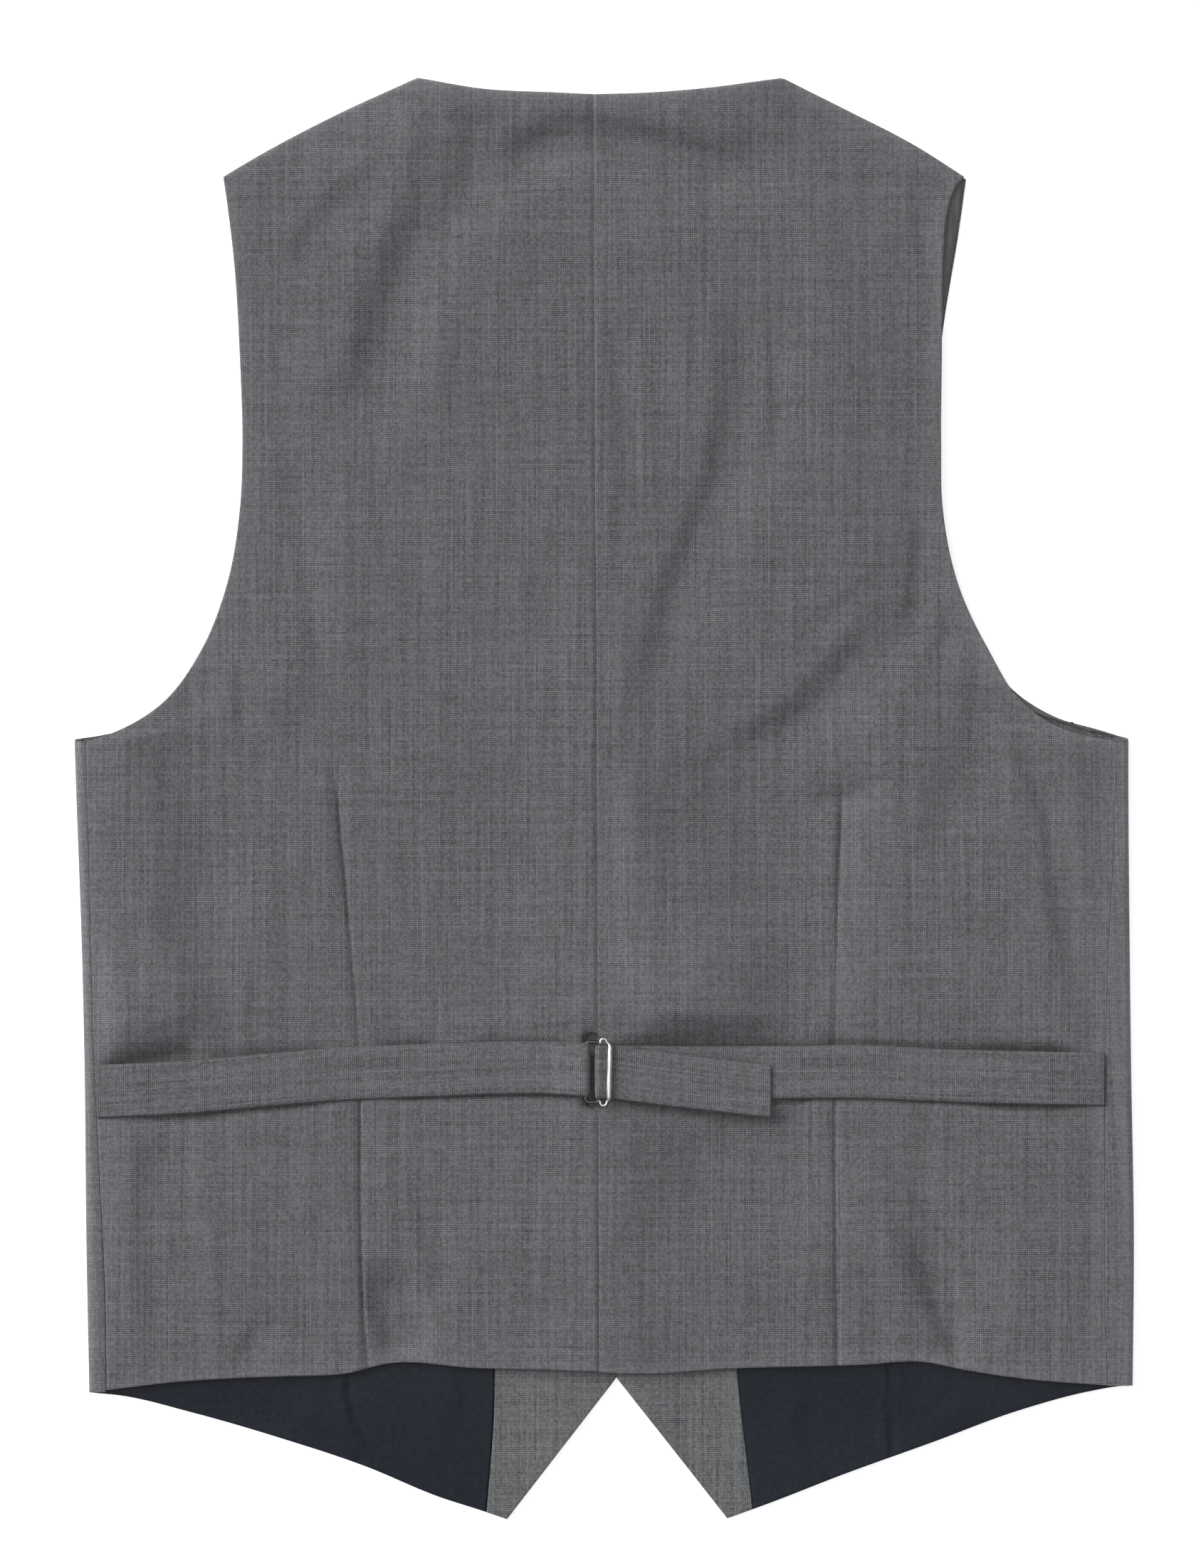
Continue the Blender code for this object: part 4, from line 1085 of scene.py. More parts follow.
@dataclass
class Strap:
    """One strap of the waist belt: a flat tube of the suiting, turned round the slide's frame."""

    back: BackHalf
    width: float = 24.4
    wall: float = 1.0
    step: float = 1.6
    wire_radius: float = 0.8
    frame_left: float = -8.5
    frame_right: float = -2.2
    bar_x: float = 2.9
    tail_end: float = 76.0
    tail_drop: float = 8.6
    loop_end: float = -24.0
    press: float = 0.3
    sink: float = 0.9

    @property
    def turn_radius(self) -> float:
        """The radius of a turn round the frame, to the strap's middle."""
        return self.wire_radius + GAP + self.wall / 2

    def stops(self) -> list[tuple[float, float, float]]:
        """Lay the strap's route.

        Returns:
            Its stations: x, height of its middle over the back, and drop towards the hem.
        """
        lower = GAP + self.wall / 2
        upper = lower + self.wall + GAP
        wire = lower + self.turn_radius
        belt_y = float(BELT.read(self.back.side, 233))
        seam = float(SIDE_SEAM.read(self.back.side, belt_y)) - GAP
        if self.back.side is Side.LEFT:
            route = [(x, lower) for x in (-seam, -160, -100, -60, -36)]
            route += [(-24.5, lower + 0.1), (-22.7, lower + 0.2), (-21.9, lower + 0.8), (-20, upper - 0.1),
                      (-15, upper + 0.7)]
            route += turn_round(self.frame_left, self.turn_radius, wire, 90, -90)
            route += [(-15, lower), (self.loop_end, lower)]
            return [(x, lift, 0.0) for x, lift in route]
        route = [(x, lower, 0.0) for x in (seam, 160, 90, 40, 12, 4)]
        turn = turn_round(self.frame_right, self.turn_radius, wire, -90, -315)
        route += [(x, lift, 0.0) for x, lift in turn]
        for x in (self.bar_x, 6, 15, 30, 45, 60, self.tail_end):
            drop = self.tail_drop * (x - self.bar_x) / (self.tail_end - self.bar_x)
            route.append((x, upper + 0.2 * float(ease(drop / 2)), drop))
        return route

    def build(self, finish: "Finish") -> bpy.types.Object:
        """Make the strap.

        Args:
            finish: Its cloth.

        Returns:
            The piece's object.
        """
        stops = np.array(self.stops())
        length = float(np.linalg.norm(np.diff(stops, axis=0), axis=1).sum())
        shares = graded(length, self.step, (0, 0.3, 0.8), (0, 0.3, 0.8)) / length
        turn_places = np.cumsum(np.linalg.norm(np.diff(stops, axis=0), axis=1)) / length
        middle = turn_places[len(turn_places) // 2]
        shares = np.unique(np.concatenate([shares, np.linspace(middle - 0.04, middle + 0.04, 70)]))
        line = trace(stops, shares)
        across = np.linspace(-1, 1, 23)
        half = self.wall / 2 * np.sqrt(np.clip(1 - np.abs(across) ** 8, 0, 1))
        u = np.concatenate([across, across[-2:0:-1]])
        h = np.concatenate([half, -half[-2:0:-1]])
        path = line[:, :2]
        tangent = np.gradient(path, axis=0)
        tangent /= np.linalg.norm(tangent, axis=1, keepdims=True)
        x, lift, drop = line.T
        end = 0.7 + 0.3 * ease(np.minimum(shares, 1 - shares) * length / 0.8)
        reach = self.width / 2 - 0.25 * (1 - end) / 0.3
        centre = BELT.read(self.back.side, np.abs(x)) - drop
        y = centre[:, None] + reach[:, None] * u
        place_x = np.repeat(x[:, None], len(u), axis=1)
        nearby = [self.back.seat(place_x + shift, y) for shift in (-5, -2, 0, 2, 5)]
        seat = sum(nearby) / len(nearby)
        edge_soft = 0.12 * np.sin(x / 9.0)[:, None] * np.abs(u) ** 3
        from_dart = np.abs(place_x) - DART.read(self.back.side, y)
        pressed = self.press * np.exp(-(from_dart / 0.9) ** 2)
        if self.back.side is Side.RIGHT:
            under = (np.arange(len(x)) < len(x) * 0.5) & (x < self.tail_end)
            tail_drop = self.tail_drop * np.clip((x - self.bar_x) / (self.tail_end - self.bar_x), 0, 1)
            past_tail = y - (centre - tail_drop + self.width / 2)[:, None]
            sunk = self.sink * (1 - ease((past_tail + 1) / 5)) * ease((self.tail_end - x) / 6)[:, None]
            pressed = pressed + np.where(under[:, None], sunk * ease((x - 6) / 14)[:, None], 0)
        rings = np.dstack([
            place_x - tangent[:, 1:] * h * end[:, None], y,
            seat + lift[:, None] + tangent[:, :1] * h * end[:, None] + edge_soft - pressed,
        ])
        run = np.insert(np.cumsum(np.hypot(*np.diff(path, axis=0).T)), 0, 0)
        grain = np.dstack([reach[:, None] * u, np.repeat(run[:, None], len(u), axis=1)])
        side = self.back.side.name.lower()
        obj = tube(f"belt_{side}", rings, False, finish, grain)
        settle(obj, "suiting", f"strap_{side}")
        return obj


@dataclass
class Slide:
    """The wire slide of the belt: a frame that the straps turn round, and the bar that grips."""

    left: Strap
    right: Strap
    bend: float = 1.6
    bar_radius: float = 1.22
    bar_x: float = 2.6
    hook_radius: float = 0.5
    hook_turn: float = 1.5
    hook_x: float = -0.35
    bar_rise: float = 1.9
    reach: float = 13.7

    def middle(self) -> tuple[float, float]:
        """Find the slide's place on the back.

        Returns:
            The y of the belt's middle line there, and the height of the frame's wire.
        """
        y = float(BELT.read(Side.RIGHT, 0))
        spots = np.array([2.0]), np.array([y])
        seat = max(float(self.right.back.seat(*spots)[0]),
                   float(self.left.back.seat(-spots[0], spots[1])[0]))
        return y, seat + GAP + self.right.wall / 2 + self.right.turn_radius

    def build(self, shaded_nickel: "Finish", bright: "Finish") -> list[bpy.types.Object]:
        """Make the frame and the bar.

        Args:
            shaded_nickel: The frame's metal: a darker copy of the bar's nickel, its colour painted shade.
            bright: The bar's metal.

        Returns:
            The pieces' objects.
        """
        y, height = self.middle()
        left, right = self.left.frame_left + self.bend, self.left.frame_right - self.bend
        above, below = y + self.reach - self.bend, y - self.reach + self.bend
        bends = []
        for cx, cy, start in ((right, above, 0), (left, above, 90), (left, below, 180), (right, below, 270)):
            for a in np.radians(np.linspace(start, start + 90, 9)):
                bends.append((cx + self.bend * math.cos(a), cy + self.bend * math.sin(a), height))
        rings = wire_rings(np.array(bends), np.full(len(bends), self.left.wire_radius), True)
        # The frame takes the darker nickel, whose colour is painted shade.
        wire = tube("slide_frame", rings, True, shaded_nickel)
        top = [(self.hook_x + self.hook_turn * math.cos(a), y + self.reach + self.hook_turn * math.sin(a),
                self.hook_radius) for a in np.radians(np.linspace(205, -4, 18))]
        bar_x = self.bar_x
        bar = [(bar_x - 0.7, y + self.reach - 0.6, 0.6), (bar_x, y + self.reach - 1.7, 1.0),
               (bar_x, y + 9.5, self.bar_radius), (bar_x - 0.25, y, self.bar_radius),
               (bar_x - 0.5, y - 9.5, self.bar_radius), (bar_x - 0.6, y - self.reach + 1.7, 1.0),
               (bar_x - 1.1, y - self.reach + 0.6, 0.6)]
        bottom = [(px, 2 * y - py, r) for px, py, r in reversed(top)]
        smooth = trace(np.array(top + bar + bottom), np.linspace(0, 1, 160))
        points = np.column_stack([smooth[:, :2], np.full(len(smooth), height + self.bar_rise)])
        grip = tube("slide_bar", wire_rings(points, smooth[:, 2], False), False, bright)
        settle(wire, "nickel", "buckle_frame")
        settle(grip, "nickel", "buckle_bar")
        return [wire, grip]


@dataclass
class Button:
    """A sew-through horn button, lying face down below the front edge.

    profile is its turned outline, as rows (distance from its middle, height).
    """

    number: int
    x: float = 5.0
    top_y: float = 35.0
    spacing: float = 60.0
    hole_spacing: float = 1.5
    thread_radius: float = 0.22
    profile: tuple[tuple[float, float], ...] = (
        (0.2, 0.75), (3.6, 0.7), (4.6, 0.45), (5.4, 0.08), (6.3, 0.0), (7.1, 0.25), (7.5, 0.95),
        (7.35, 1.7), (6.6, 2.3), (5.0, 2.5), (0.2, 2.5),
    )

    @property
    def y(self) -> float:
        """The button's place along the front edge."""
        return self.top_y - self.number * self.spacing

    def build(self, horn: "Finish", thread: "Finish") -> list[bpy.types.Object]:
        """Make the button and the thread that sews it on.

        Args:
            horn: The button's finish.
            thread: The thread's finish.

        Returns:
            The pieces' objects.
        """
        angle = np.linspace(0, math.tau, 48, endpoint=False)
        rings = np.array([np.column_stack([self.x + r * np.cos(angle), self.y + r * np.sin(angle),
                                           np.full(len(angle), z)]) for r, z in self.profile])
        name = f"button_{self.number + 1}"
        disc = tube(name + "_horn", rings, False, horn)
        settle(disc, "horn", name)
        step = self.hole_spacing
        cross = ((-1, -1, 1.2), (-1, -1, 0.45), (0, 0, 0.3), (1, 1, 0.45), (1, 1, 1.2), (1, -1, 1.2),
                 (1, -1, 0.6), (0, 0, 0.48), (-1, 1, 0.6), (-1, 1, 1.2))
        route = np.array([(self.x + step * right, self.y + step * up, z) for right, up, z in cross])
        smooth = trace(route, np.linspace(0, 1, 60))
        strand = wire_rings(smooth, np.full(len(smooth), self.thread_radius), False, 8)
        sewing = tube(name + "_thread", strand, False, thread)
        settle(sewing, "suiting")
        return [disc, sewing]


class StitchTree:
    """Node tree that sews a row of stitches along an edge-only mesh."""

    def __init__(self) -> None:
        """Build the tree once."""
        self.tree = bpy.data.node_groups.new("stitch row", "GeometryNodeTree")
        self.tree.is_modifier = True
        face = self.tree.interface
        face.new_socket("Geometry", in_out="INPUT", socket_type="NodeSocketGeometry")
        self.sockets = {}
        for name in ("Spacing", "Length", "Thickness", "Slant", "Thread"):
            kind = "NodeSocketMaterial" if name == "Thread" else "NodeSocketFloat"
            self.sockets[name] = face.new_socket(name, in_out="INPUT", socket_type=kind).identifier
        face.new_socket("Geometry", in_out="OUTPUT", socket_type="NodeSocketGeometry")
        self.fill()

    def fill(self) -> None:
        """Lay the nodes: resample the run, put a small lozenge on each point, and realize them."""
        t = self.tree
        source = add(t, "NodeGroupInput")
        curve = add(t, "GeometryNodeMeshToCurve", {"Mesh": source.outputs["Geometry"]})
        spaced = add(t, "GeometryNodeResampleCurve", {
            "Curve": curve.outputs[0], "Length": source.outputs["Spacing"],
        }, mode="LENGTH")
        ball = add(t, "GeometryNodeMeshUVSphere", {"Segments": 6, "Rings": 4, "Radius": 0.5})
        size = add(t, "ShaderNodeCombineXYZ", {
            "X": source.outputs["Length"], "Y": source.outputs["Thickness"], "Z": source.outputs["Thickness"],
        })
        wobble = add(t, "FunctionNodeRandomValue", {2: 0.85, 3: 1.15, "Seed": 5}, data_type="FLOAT")
        uneven = add(t, "ShaderNodeVectorMath", {0: size.outputs[0], "Scale": wobble.outputs[1]},
                     operation="SCALE")
        along = add(t, "GeometryNodeInputTangent")
        aligned = add(t, "FunctionNodeAlignRotationToVector", {"Vector": along.outputs[0]}, axis="X")
        slant = add(t, "ShaderNodeCombineXYZ", {"Z": source.outputs["Slant"]})
        spin = add(t, "FunctionNodeEulerToRotation", {"Euler": slant.outputs[0]})
        turned = add(t, "FunctionNodeRotateRotation", {
            "Rotation": aligned.outputs[0], "Rotate By": spin.outputs[0],
        }, rotation_space="LOCAL")
        placed = add(t, "GeometryNodeInstanceOnPoints", {
            "Points": spaced.outputs[0], "Instance": ball.outputs[0], "Rotation": turned.outputs[0],
            "Scale": uneven.outputs[0],
        })
        real = add(t, "GeometryNodeRealizeInstances", {"Geometry": placed.outputs[0]})
        dressed = add(t, "GeometryNodeSetMaterial", {
            "Geometry": real.outputs[0], "Material": source.outputs["Thread"],
        })
        add(t, "NodeGroupOutput", {"Geometry": dressed.outputs[0]})

    def sew(self, name: str, runs: Sequence[np.ndarray], spacing: float, length: float, thickness: float,
            slant: float, finish: "Finish") -> bpy.types.Object:
        """Sew rows of stitches.

        Args:
            name: The piece's name.
            runs: The rows, each a run of points.
            spacing: From stitch to stitch.
            length: A stitch's length.
            thickness: A stitch's thickness.
            slant: A stitch's angle to its row, in degrees.
            finish: The thread.

        Returns:
            The stitches as a plain mesh object.
        """
        points, edges = [], []
        for run in runs:
            start = len(points)
            points += (run * MM).tolist()
            edges += [(k, k + 1) for k in range(start, start + len(run) - 1)]
        rail = bpy.data.meshes.new(name + "_rail")
        rail.from_pydata(points, edges, [])
        obj = bpy.data.objects.new(name, rail)
        bpy.context.collection.objects.link(obj)
        rows = obj.modifiers.new("stitches", "NODES")
        rows.node_group = self.tree
        values = {"Spacing": spacing * MM, "Length": length * MM, "Thickness": thickness * MM,
                  "Slant": math.radians(slant), "Thread": finish.material()}
        for key, value in values.items():
            rows[self.sockets[key]] = value
        evaluated = obj.evaluated_get(bpy.context.evaluated_depsgraph_get())
        mesh = bpy.data.meshes.new_from_object(evaluated)
        obj.modifiers.remove(rows)
        obj.data = mesh
        mesh.shade_smooth()
        return settle(obj, "suiting")


def linear(code: str) -> tuple[float, float, float, float]:
    """Turn an sRGB hex colour to linear.

    Args:
        code: The colour, as #rrggbb.

    Returns:
        The linear red, green, blue and an alpha of 1.
    """
    parts = [int(code[k:k + 2], 16) / 255 for k in (1, 3, 5)]
    return (*[p / 12.92 if p <= 0.04045 else ((p + 0.055) / 1.055) ** 2.4 for p in parts], 1.0)


def add(tree: bpy.types.NodeTree, kind: str, inputs: dict | None = None, **settings: Any) -> bpy.types.Node:
    """Add a node with its settings and links.

    Args:
        tree: The tree to add to.
        kind: The node's type.
        inputs: Values or sockets to link, by the input's name or number.
        settings: The node's own properties.

    Returns:
        The node.
    """
    node = tree.nodes.new(kind)
    for key, value in settings.items():
        setattr(node, key, value)
    for key, value in (inputs or {}).items():
        if isinstance(value, bpy.types.NodeSocket):
            tree.links.new(value, node.inputs[key])
        else:
            node.inputs[key].default_value = value
    return node


class Finish:
    """A finish that makes its material once."""

    name = "finish"

    def material(self) -> bpy.types.Material:
        """Make the finish's material on first use.

        Returns:
            The material.
        """
        found = bpy.data.materials.get(self.name)
        if found:
            return found
        made = bpy.data.materials.new(self.name)
        made.use_nodes = True
        tree = made.node_tree
        tree.nodes.clear()
        shader = self.shade(tree)
        add(tree, "ShaderNodeOutputMaterial", {"Surface": shader.outputs[0]})
        return made

    def shade(self, tree: bpy.types.NodeTree) -> bpy.types.Node:
        """Lay the finish's nodes and return its shader."""
        raise NotImplementedError


@dataclass(frozen=True)
class Suiting(Finish):
    """Worsted and slub yarn in an open plain weave, woven and pressed.

    Light dots stand where the yarns cross over dark gaps, and thick and thin yarn leaves
    broken streaks both ways. The yarns are 0.84 and 0.95 mm apart, coarse for a suiting, so that
    the weave shows. Its nap gives a weak sheen and no gloss. Near edges and folds its colour is
    painted brighter: a painted highlight for the light that catches them there.
    """

    name: str = "plain weave wool suiting"
    colour: str = "#6c6c6e"
    warp_pitch: float = 0.84
    weft_pitch: float = 0.95
    dots: float = 1.15
    streaks: float = 0.95
    specks: float = 0.45
    warp_slub: float = 85.0
    weft_slub: float = 60.0
    weft_share: float = 0.65
    band: float = 5.0
    band_length: float = 240.0
    banding: float = 0.07
    # Strength of the painted highlight at the cloth's edges and folds.
    painted_rim_light_share: float = 0.32
    mottling: float = 0.10
    relief: float = 0.12

    def threads(self, tree: bpy.types.NodeTree, across: Any, along: Any, slub: float, shift: float) -> Any:
        """The thickness of one set of yarns, as a number about 0.

        Args:
            tree: The material's tree.
            across: The place across the yarns, in yarns.
            along: The place along them, in yarns.
            slub: The length of a thick or thin stretch, in millimetres.
            shift: A number that makes this set its own.

        Returns:
            The socket with the number.
        """
        which = add(tree, "ShaderNodeMath", {0: across}, operation="FLOOR")
        apart = add(tree, "ShaderNodeMath", {0: which.outputs[0], 1: 7.31, 2: shift},
                    operation="MULTIPLY_ADD")
        slow = add(tree, "ShaderNodeMath", {0: along, 1: self.weft_pitch / slub}, operation="MULTIPLY")
        place = add(tree, "ShaderNodeCombineXYZ", {"X": apart.outputs[0], "Y": slow.outputs[0], "Z": shift})
        uneven = add(tree, "ShaderNodeTexNoise", {"Vector": place.outputs[0], "Scale": 1.0, "Detail": 2.0,
                                                  "Roughness": 0.6})
        return add(tree, "ShaderNodeMath", {0: uneven.outputs["Fac"], 1: 0.5},
                   operation="SUBTRACT").outputs[0]

    def mixed(self, tree: bpy.types.NodeTree, start: Any, parts: Sequence[tuple[Any, float]]) -> Any:
        """Add shares of numbers to a number.

        Args:
            tree: The material's tree.
            start: The socket with the first number.
            parts: The other numbers' sockets, each with its share.

        Returns:
            The socket with the sum.
        """
        for part, share in parts:
            start = add(tree, "ShaderNodeMath", {0: part, 1: share, 2: start},
                        operation="MULTIPLY_ADD").outputs[0]
        return start

    def shade(self, tree: bpy.types.NodeTree) -> bpy.types.Node:
        """Lay the weave.

        Args:
            tree: The material's tree.

        Returns:
            The shader.
        """
        grain = add(tree, "ShaderNodeUVMap", uv_map="grain")
        per_metre = (1 / (self.warp_pitch * MM), 1 / (self.weft_pitch * MM), 0.0)
        counted = add(tree, "ShaderNodeVectorMath", {0: grain.outputs[0], 1: per_metre}, operation="MULTIPLY")
        place = add(tree, "ShaderNodeSeparateXYZ", {0: counted.outputs[0]})
        p, q = place.outputs[0], place.outputs[1]
        crowns = []
        for axis in (p, q):
            turned = add(tree, "ShaderNodeMath", {0: axis, 1: math.tau}, operation="MULTIPLY")
            wave = add(tree, "ShaderNodeMath", {0: turned.outputs[0]}, operation="COSINE")
            crowns.append(add(tree, "ShaderNodeMath", {0: wave.outputs[0], 1: -0.5, 2: 0.5},
                              operation="MULTIPLY_ADD").outputs[0])
        dot = add(tree, "ShaderNodeMath", {0: crowns[0], 1: crowns[1]}, operation="MULTIPLY")
        broad = add(tree, "ShaderNodeTexNoise", {"Vector": counted.outputs[0], "Scale": self.warp_pitch / 16,
                                                 "Detail": 3.0, "Roughness": 0.55})
        patch = add(tree, "ShaderNodeMapRange", {
            "Value": broad.outputs["Fac"], "From Min": 0.3, "From Max": 0.7, "To Min": 0.5, "To Max": 1.4,
        })
        crossing = add(tree, "ShaderNodeVectorMath", {0: counted.outputs[0]}, operation="FLOOR")
        chance = add(tree, "ShaderNodeTexWhiteNoise", {"Vector": crossing.outputs[0]}, noise_dimensions="3D")
        # Painted highlight: this attribute brightens the colour where edges and folds catch the light.
        rim_light_node = add(tree, "ShaderNodeAttribute", attribute_name="painted_rim_light")
        raised, speck, shade = (
            add(tree, "ShaderNodeMath", {0: value, 1: middle}, operation="SUBTRACT").outputs[0]
            for value, middle in ((dot.outputs[0], 0.25), (chance.outputs["Value"], 0.5),
                                  (broad.outputs["Fac"], 0.5)))
        dots = add(tree, "ShaderNodeMath", {0: raised, 1: patch.outputs[0]}, operation="MULTIPLY")
        warp = self.threads(tree, p, q, self.warp_slub, 3.7)
        weft = self.threads(tree, q, p, self.weft_slub, 61.3)
        group = add(tree, "ShaderNodeMath", {0: p, 1: 1 / self.band}, operation="MULTIPLY")
        bands = self.threads(tree, group.outputs[0], q, self.band_length, 17.9)
        yarns = self.mixed(tree, warp, ((weft, self.weft_share), (bands, self.banding)))
        streaked = add(tree, "ShaderNodeMath", {0: yarns, 1: self.streaks, 2: 1.0}, operation="MULTIPLY_ADD")
        bright = self.mixed(tree, streaked.outputs[0], (
            (speck, self.specks), (dots.outputs[0], self.dots), (shade, self.mottling),
            (rim_light_node.outputs["Fac"], self.painted_rim_light_share)))
        colour = add(tree, "ShaderNodeVectorMath", {0: linear(self.colour)[:3], "Scale": bright},
                     operation="SCALE")
        height = self.mixed(tree, dot.outputs[0], ((yarns, 0.5),))
        bump = add(tree, "ShaderNodeBump", {"Height": height, "Strength": 0.35, "Distance": self.relief * MM})
        return add(tree, "ShaderNodeBsdfPrincipled", {
            "Base Color": colour.outputs[0], "Roughness": 0.88, "Normal": bump.outputs[0],
            "Sheen Weight": 0.12, "Sheen Roughness": 0.4, "Specular IOR Level": 0.25,
        })


@dataclass(frozen=True)
class Lining(Finish):
    """Viscose twill lining, woven fine and calendered: smooth, with a soft gloss across its ribs."""

    name: str = "navy viscose twill lining"
    colour: str = "#171c27"
    rib: float = 0.8
    roughness: float = 0.5
    mottling: float = 1.2
    contrast: float = 0.16

    def shade(self, tree: bpy.types.NodeTree) -> bpy.types.Node:
        """Lay the twill's ribs, drawn coarser than real ones so that they show.

        Args:
            tree: The material's tree.

        Returns:
            The shader.
        """
        grain = add(tree, "ShaderNodeUVMap", uv_map="grain")
        place = add(tree, "ShaderNodeSeparateXYZ", {0: grain.outputs[0]})
        diagonal = add(tree, "ShaderNodeMath", {0: place.outputs[0], 1: place.outputs[1]}, operation="ADD")
        turned = add(tree, "ShaderNodeMath", {0: diagonal.outputs[0], 1: math.tau / (self.rib * MM)},
                     operation="MULTIPLY")
        rib = add(tree, "ShaderNodeMath", {0: turned.outputs[0]}, operation="SINE")
        mottle = add(tree, "ShaderNodeTexNoise", {"Vector": grain.outputs[0], "Scale": 420.0, "Detail": 4.0,
                                                  "Roughness": 0.65})
        shade = add(tree, "ShaderNodeMath", {0: mottle.outputs["Fac"], 1: 0.5}, operation="SUBTRACT")
        cloudy = add(tree, "ShaderNodeMath", {0: shade.outputs[0], 1: self.mottling * 2, 2: 1.0},
                     operation="MULTIPLY_ADD")
        ribbed = add(tree, "ShaderNodeMath", {0: rib.outputs[0], 1: self.contrast / 2, 2: cloudy.outputs[0]},
                     operation="MULTIPLY_ADD")
        colour = add(tree, "ShaderNodeVectorMath", {0: linear(self.colour)[:3], "Scale": ribbed.outputs[0]},
                     operation="SCALE")
        bump = add(tree, "ShaderNodeBump", {
            "Height": rib.outputs[0], "Strength": 0.15, "Distance": 0.05 * MM,
        })
        return add(tree, "ShaderNodeBsdfPrincipled", {
            "Base Color": colour.outputs[0], "Roughness": self.roughness, "Normal": bump.outputs[0],
            "Specular IOR Level": 0.25, "Anisotropic": 0.3,
        })


@dataclass(frozen=True)
class Satin(Lining):
    """Taupe-grey satin armhole lining: long floats that catch the light along their folds."""

    name: str = "taupe satin lining"
    colour: str = "#626260"
    rib: float = 0.6
    roughness: float = 0.36
    mottling: float = 0.3
    contrast: float = 0.08


@dataclass(frozen=True)
class Nickel(Finish):
    """Nickel-plated steel wire, drawn and barrel plated: bright, with faint drawing lines."""

    name: str = "nickel plated wire"
    colour: str = "#f2f1ee"
    smoothest: float = 0.26
    roughest: float = 0.4

    def shade(self, tree: bpy.types.NodeTree) -> bpy.types.Node:
        """Lay the plating.

        Args:
            tree: The material's tree.

        Returns:
            The shader.
        """
        place = add(tree, "ShaderNodeTexCoord")
        stretched = add(tree, "ShaderNodeMapping", {
            "Vector": place.outputs["Object"], "Scale": (4000, 300, 4000),
        })
        lines = add(tree, "ShaderNodeTexNoise", {"Vector": stretched.outputs[0], "Scale": 1.0, "Detail": 3.0})
        rough = add(tree, "ShaderNodeMapRange", {"Value": lines.outputs["Fac"], "To Min": self.smoothest,
                                                 "To Max": self.roughest})
        return add(tree, "ShaderNodeBsdfPrincipled", {
            "Base Color": linear(self.colour), "Metallic": 1.0, "Roughness": rough.outputs[0],
        })


@dataclass(frozen=True)
class Horn(Finish):
    """Dark horn, turned and polished: cloudy streaks under a soft gloss."""

    name: str = "polished dark horn"
    dark: str = "#1d1b1b"
    light: str = "#4a4038"

    def shade(self, tree: bpy.types.NodeTree) -> bpy.types.Node:
        """Lay the horn's streaks.

        Args:
            tree: The material's tree.

        Returns:
            The shader.
        """
        place = add(tree, "ShaderNodeTexCoord")
        stretched = add(tree, "ShaderNodeMapping", {
            "Vector": place.outputs["Object"], "Scale": (120, 420, 420),
        })
        cloud = add(tree, "ShaderNodeTexNoise", {"Vector": stretched.outputs[0], "Scale": 1.0, "Detail": 5.0,
                                                 "Distortion": 1.2})
        ramp = add(tree, "ShaderNodeMix", {
            0: cloud.outputs["Fac"], 6: linear(self.dark), 7: linear(self.light),
        }, data_type="RGBA")
        return add(tree, "ShaderNodeBsdfPrincipled", {"Base Color": ramp.outputs[2], "Roughness": 0.3,
                                                      "Coat Weight": 0.2})


@dataclass(frozen=True)
class Thread(Finish):
    """Polyester sewing thread, two-ply twisted: fine slanting plies with a slight gloss."""

    name: str = "twisted polyester thread"
    colour: str = "#8d8c86"
    ply: float = 0.5

    def shade(self, tree: bpy.types.NodeTree) -> bpy.types.Node:
        """Lay the thread's plies.

        Args:
            tree: The material's tree.

        Returns:
            The shader.
        """
        place = add(tree, "ShaderNodeTexCoord")
        plies = add(tree, "ShaderNodeTexWave", {
            "Vector": place.outputs["Object"], "Scale": 1 / (self.ply * MM) / 6, "Distortion": 0.6,
        }, bands_direction="DIAGONAL")
        tone = add(tree, "ShaderNodeMapRange", {
            "Value": plies.outputs["Fac"], "To Min": 0.65, "To Max": 1.15,
        })
        colour = add(tree, "ShaderNodeVectorMath", {0: linear(self.colour)[:3], "Scale": tone.outputs[0]},
                     operation="SCALE")
        return add(tree, "ShaderNodeBsdfPrincipled", {"Base Color": colour.outputs[0], "Roughness": 0.55})


@dataclass(frozen=True)
class Paper(Finish):
    """White backdrop paper, matt, lit so evenly that it hardly takes a shadow."""

    name: str = "white backdrop paper"
    colour: str = "#f2f2f2"
    glow: float = 0.62

    def shade(self, tree: bpy.types.NodeTree) -> bpy.types.Node:
        """Lay the paper, with the light that comes through it from below.

        Args:
            tree: The material's tree.

        Returns:
            The shader.
        """
        place = add(tree, "ShaderNodeTexCoord")
        fibre = add(tree, "ShaderNodeTexNoise", {"Vector": place.outputs["Object"], "Scale": 900.0})
        bump = add(tree, "ShaderNodeBump", {
            "Height": fibre.outputs["Fac"], "Strength": 0.05, "Distance": 0.05 * MM,
        })
        return add(tree, "ShaderNodeBsdfPrincipled", {
            "Base Color": linear(self.colour), "Roughness": 0.9, "Normal": bump.outputs[0],
            "Specular IOR Level": 0.1, "Emission Color": (1.0, 1.0, 1.0, 1.0), "Emission Strength": self.glow,
        })


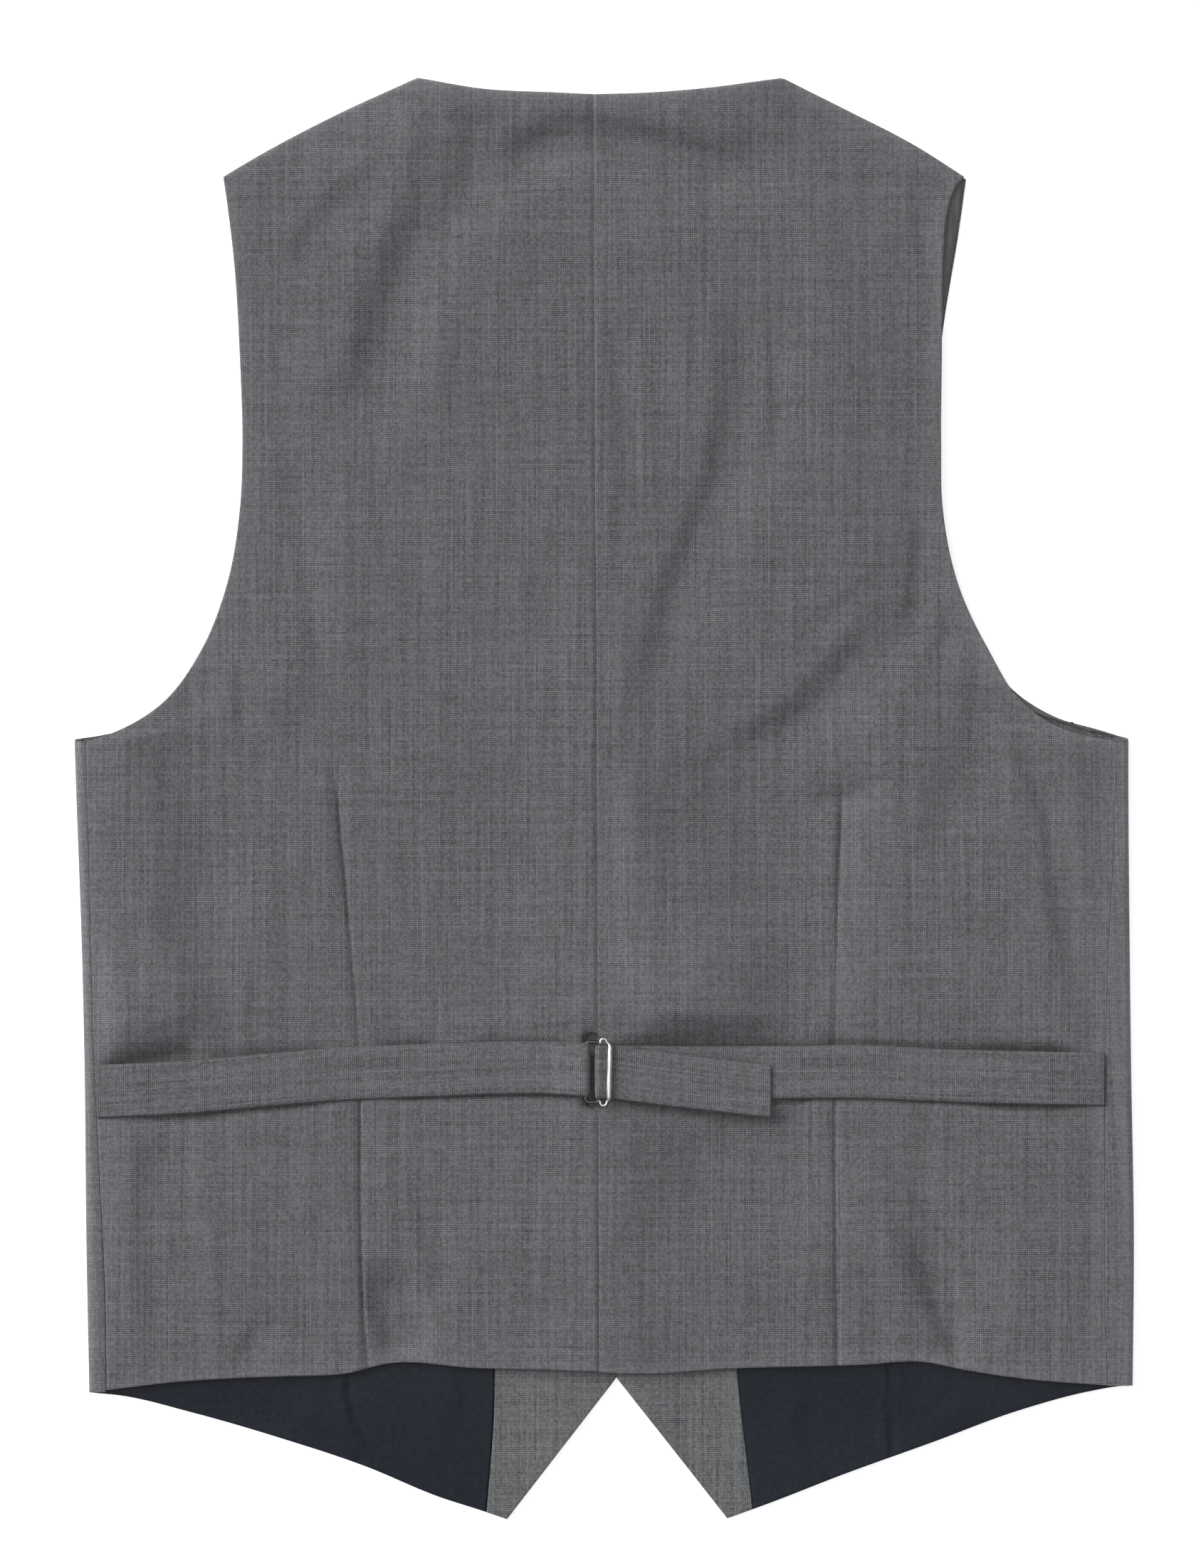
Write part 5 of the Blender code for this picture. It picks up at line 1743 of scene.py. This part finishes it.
@dataclass
class Studio:
    """The plain floor, the soft light and the camera straight above."""

    centre: tuple[float, float] = (-2.8, 6.7)
    seen_height: float = 716.0
    lens: float = 200.0
    sensor: float = 36.0
    surface: float = 5.0
    floor: float = 3000.0
    sky: float = 0.22
    sky_colour: str = "#f4f8ff"
    top: float = 0.62
    top_angle: float = 40.0
    key: float = 2.45
    key_angle: float = 50.0
    key_turn: float = 146.0
    key_height: float = 32.0

    def build(self, paper: Finish) -> None:
        """Make the floor, lights and camera.

        Args:
            paper: The floor's finish.
        """
        half = self.floor * MM / 2
        mesh = bpy.data.meshes.new("floor")
        corners = [(-half, -half, 0), (half, -half, 0), (half, half, 0), (-half, half, 0)]
        mesh.from_pydata(corners, [], [(0, 1, 2, 3)])
        mesh.materials.append(paper.material())
        floor = bpy.data.objects.new("floor", mesh)
        bpy.context.collection.objects.link(floor)
        floor.location.z = -0.2 * MM
        floor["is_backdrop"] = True
        world = bpy.data.worlds.new("soft sky")
        world.use_nodes = True
        sky = world.node_tree.nodes["Background"]
        sky.inputs["Color"].default_value = linear(self.sky_colour)
        sky.inputs["Strength"].default_value = self.sky
        bpy.context.scene.world = world
        tilt = (0, math.radians(90 - self.key_height), math.radians(self.key_turn))
        for name, power, angle, turn in (("top", self.top, self.top_angle, (0, 0, 0)),
                                         ("key", self.key, self.key_angle, tilt)):
            light = bpy.data.lights.new(name, "SUN")
            light.energy = power
            light.angle = math.radians(angle)
            lamp = bpy.data.objects.new(name, light)
            lamp.rotation_euler = turn
            bpy.context.collection.objects.link(lamp)
        view = bpy.data.cameras.new("camera")
        view.lens = self.lens
        view.sensor_width = self.sensor
        view.clip_end = 100
        camera = bpy.data.objects.new("camera", view)
        away = self.seen_height * self.lens / self.sensor + self.surface
        camera.location = (self.centre[0] * MM, self.centre[1] * MM, away * MM)
        bpy.context.collection.objects.link(camera)
        bpy.context.scene.camera = camera
        bpy.context.scene.view_settings.view_transform = "Standard"


def main() -> None:
    """Build every piece, then the studio."""
    logging.basicConfig(level=logging.INFO, format="%(message)s")
    suiting, navy, satin = Suiting(), Lining(), Satin()
    facing = Suiting(name="plain weave wool suiting, inside", colour="#717273")
    nickel, horn, thread = Nickel(), Horn(), Thread()
    backs = {side: BackHalf(side) for side in Side}
    fronts = {side: Front(side, creases=FRONT_CREASES[side]) for side in Side}
    for side in Side:
        backs[side].build(suiting)
        fronts[side].build(suiting)
        inside = HemInside(fronts[side], creases=INSIDE_CREASES[side])
        inside.strip(Inside.FACING, facing)
        inside.strip(Inside.LINING, navy)
    armhole = ArmholeLining(fronts[Side.RIGHT])
    armhole.build(satin)
    straps = {side: Strap(backs[side]) for side in Side}
    for side in Side:
        straps[side].build(suiting)
    # A rougher copy of the nickel with a darker colour for the frame: the colour is painted shade, for the
    # shade it lies in under the straps' loops.
    shaded_nickel = Nickel(name="nickel plated wire, shade_darkened", colour="#64625e", smoothest=0.3, roughest=0.5)
    Slide(straps[Side.LEFT], straps[Side.RIGHT]).build(shaded_nickel, nickel)
    for number in range(5):
        Button(number).build(horn, thread)
    StitchTree().sew("armhole_stitches", [armhole.stitch_run()], spacing=1.5, length=1.0,
                     thickness=0.32, slant=24, finish=thread)
    Studio().build(Paper())


if __name__ == "__main__":
    main()
    boxes = {"cad": CAD_BOX, "visual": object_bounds()}
    {name: [list(map(float, corner)) for corner in box] for name, box in boxes.items()}
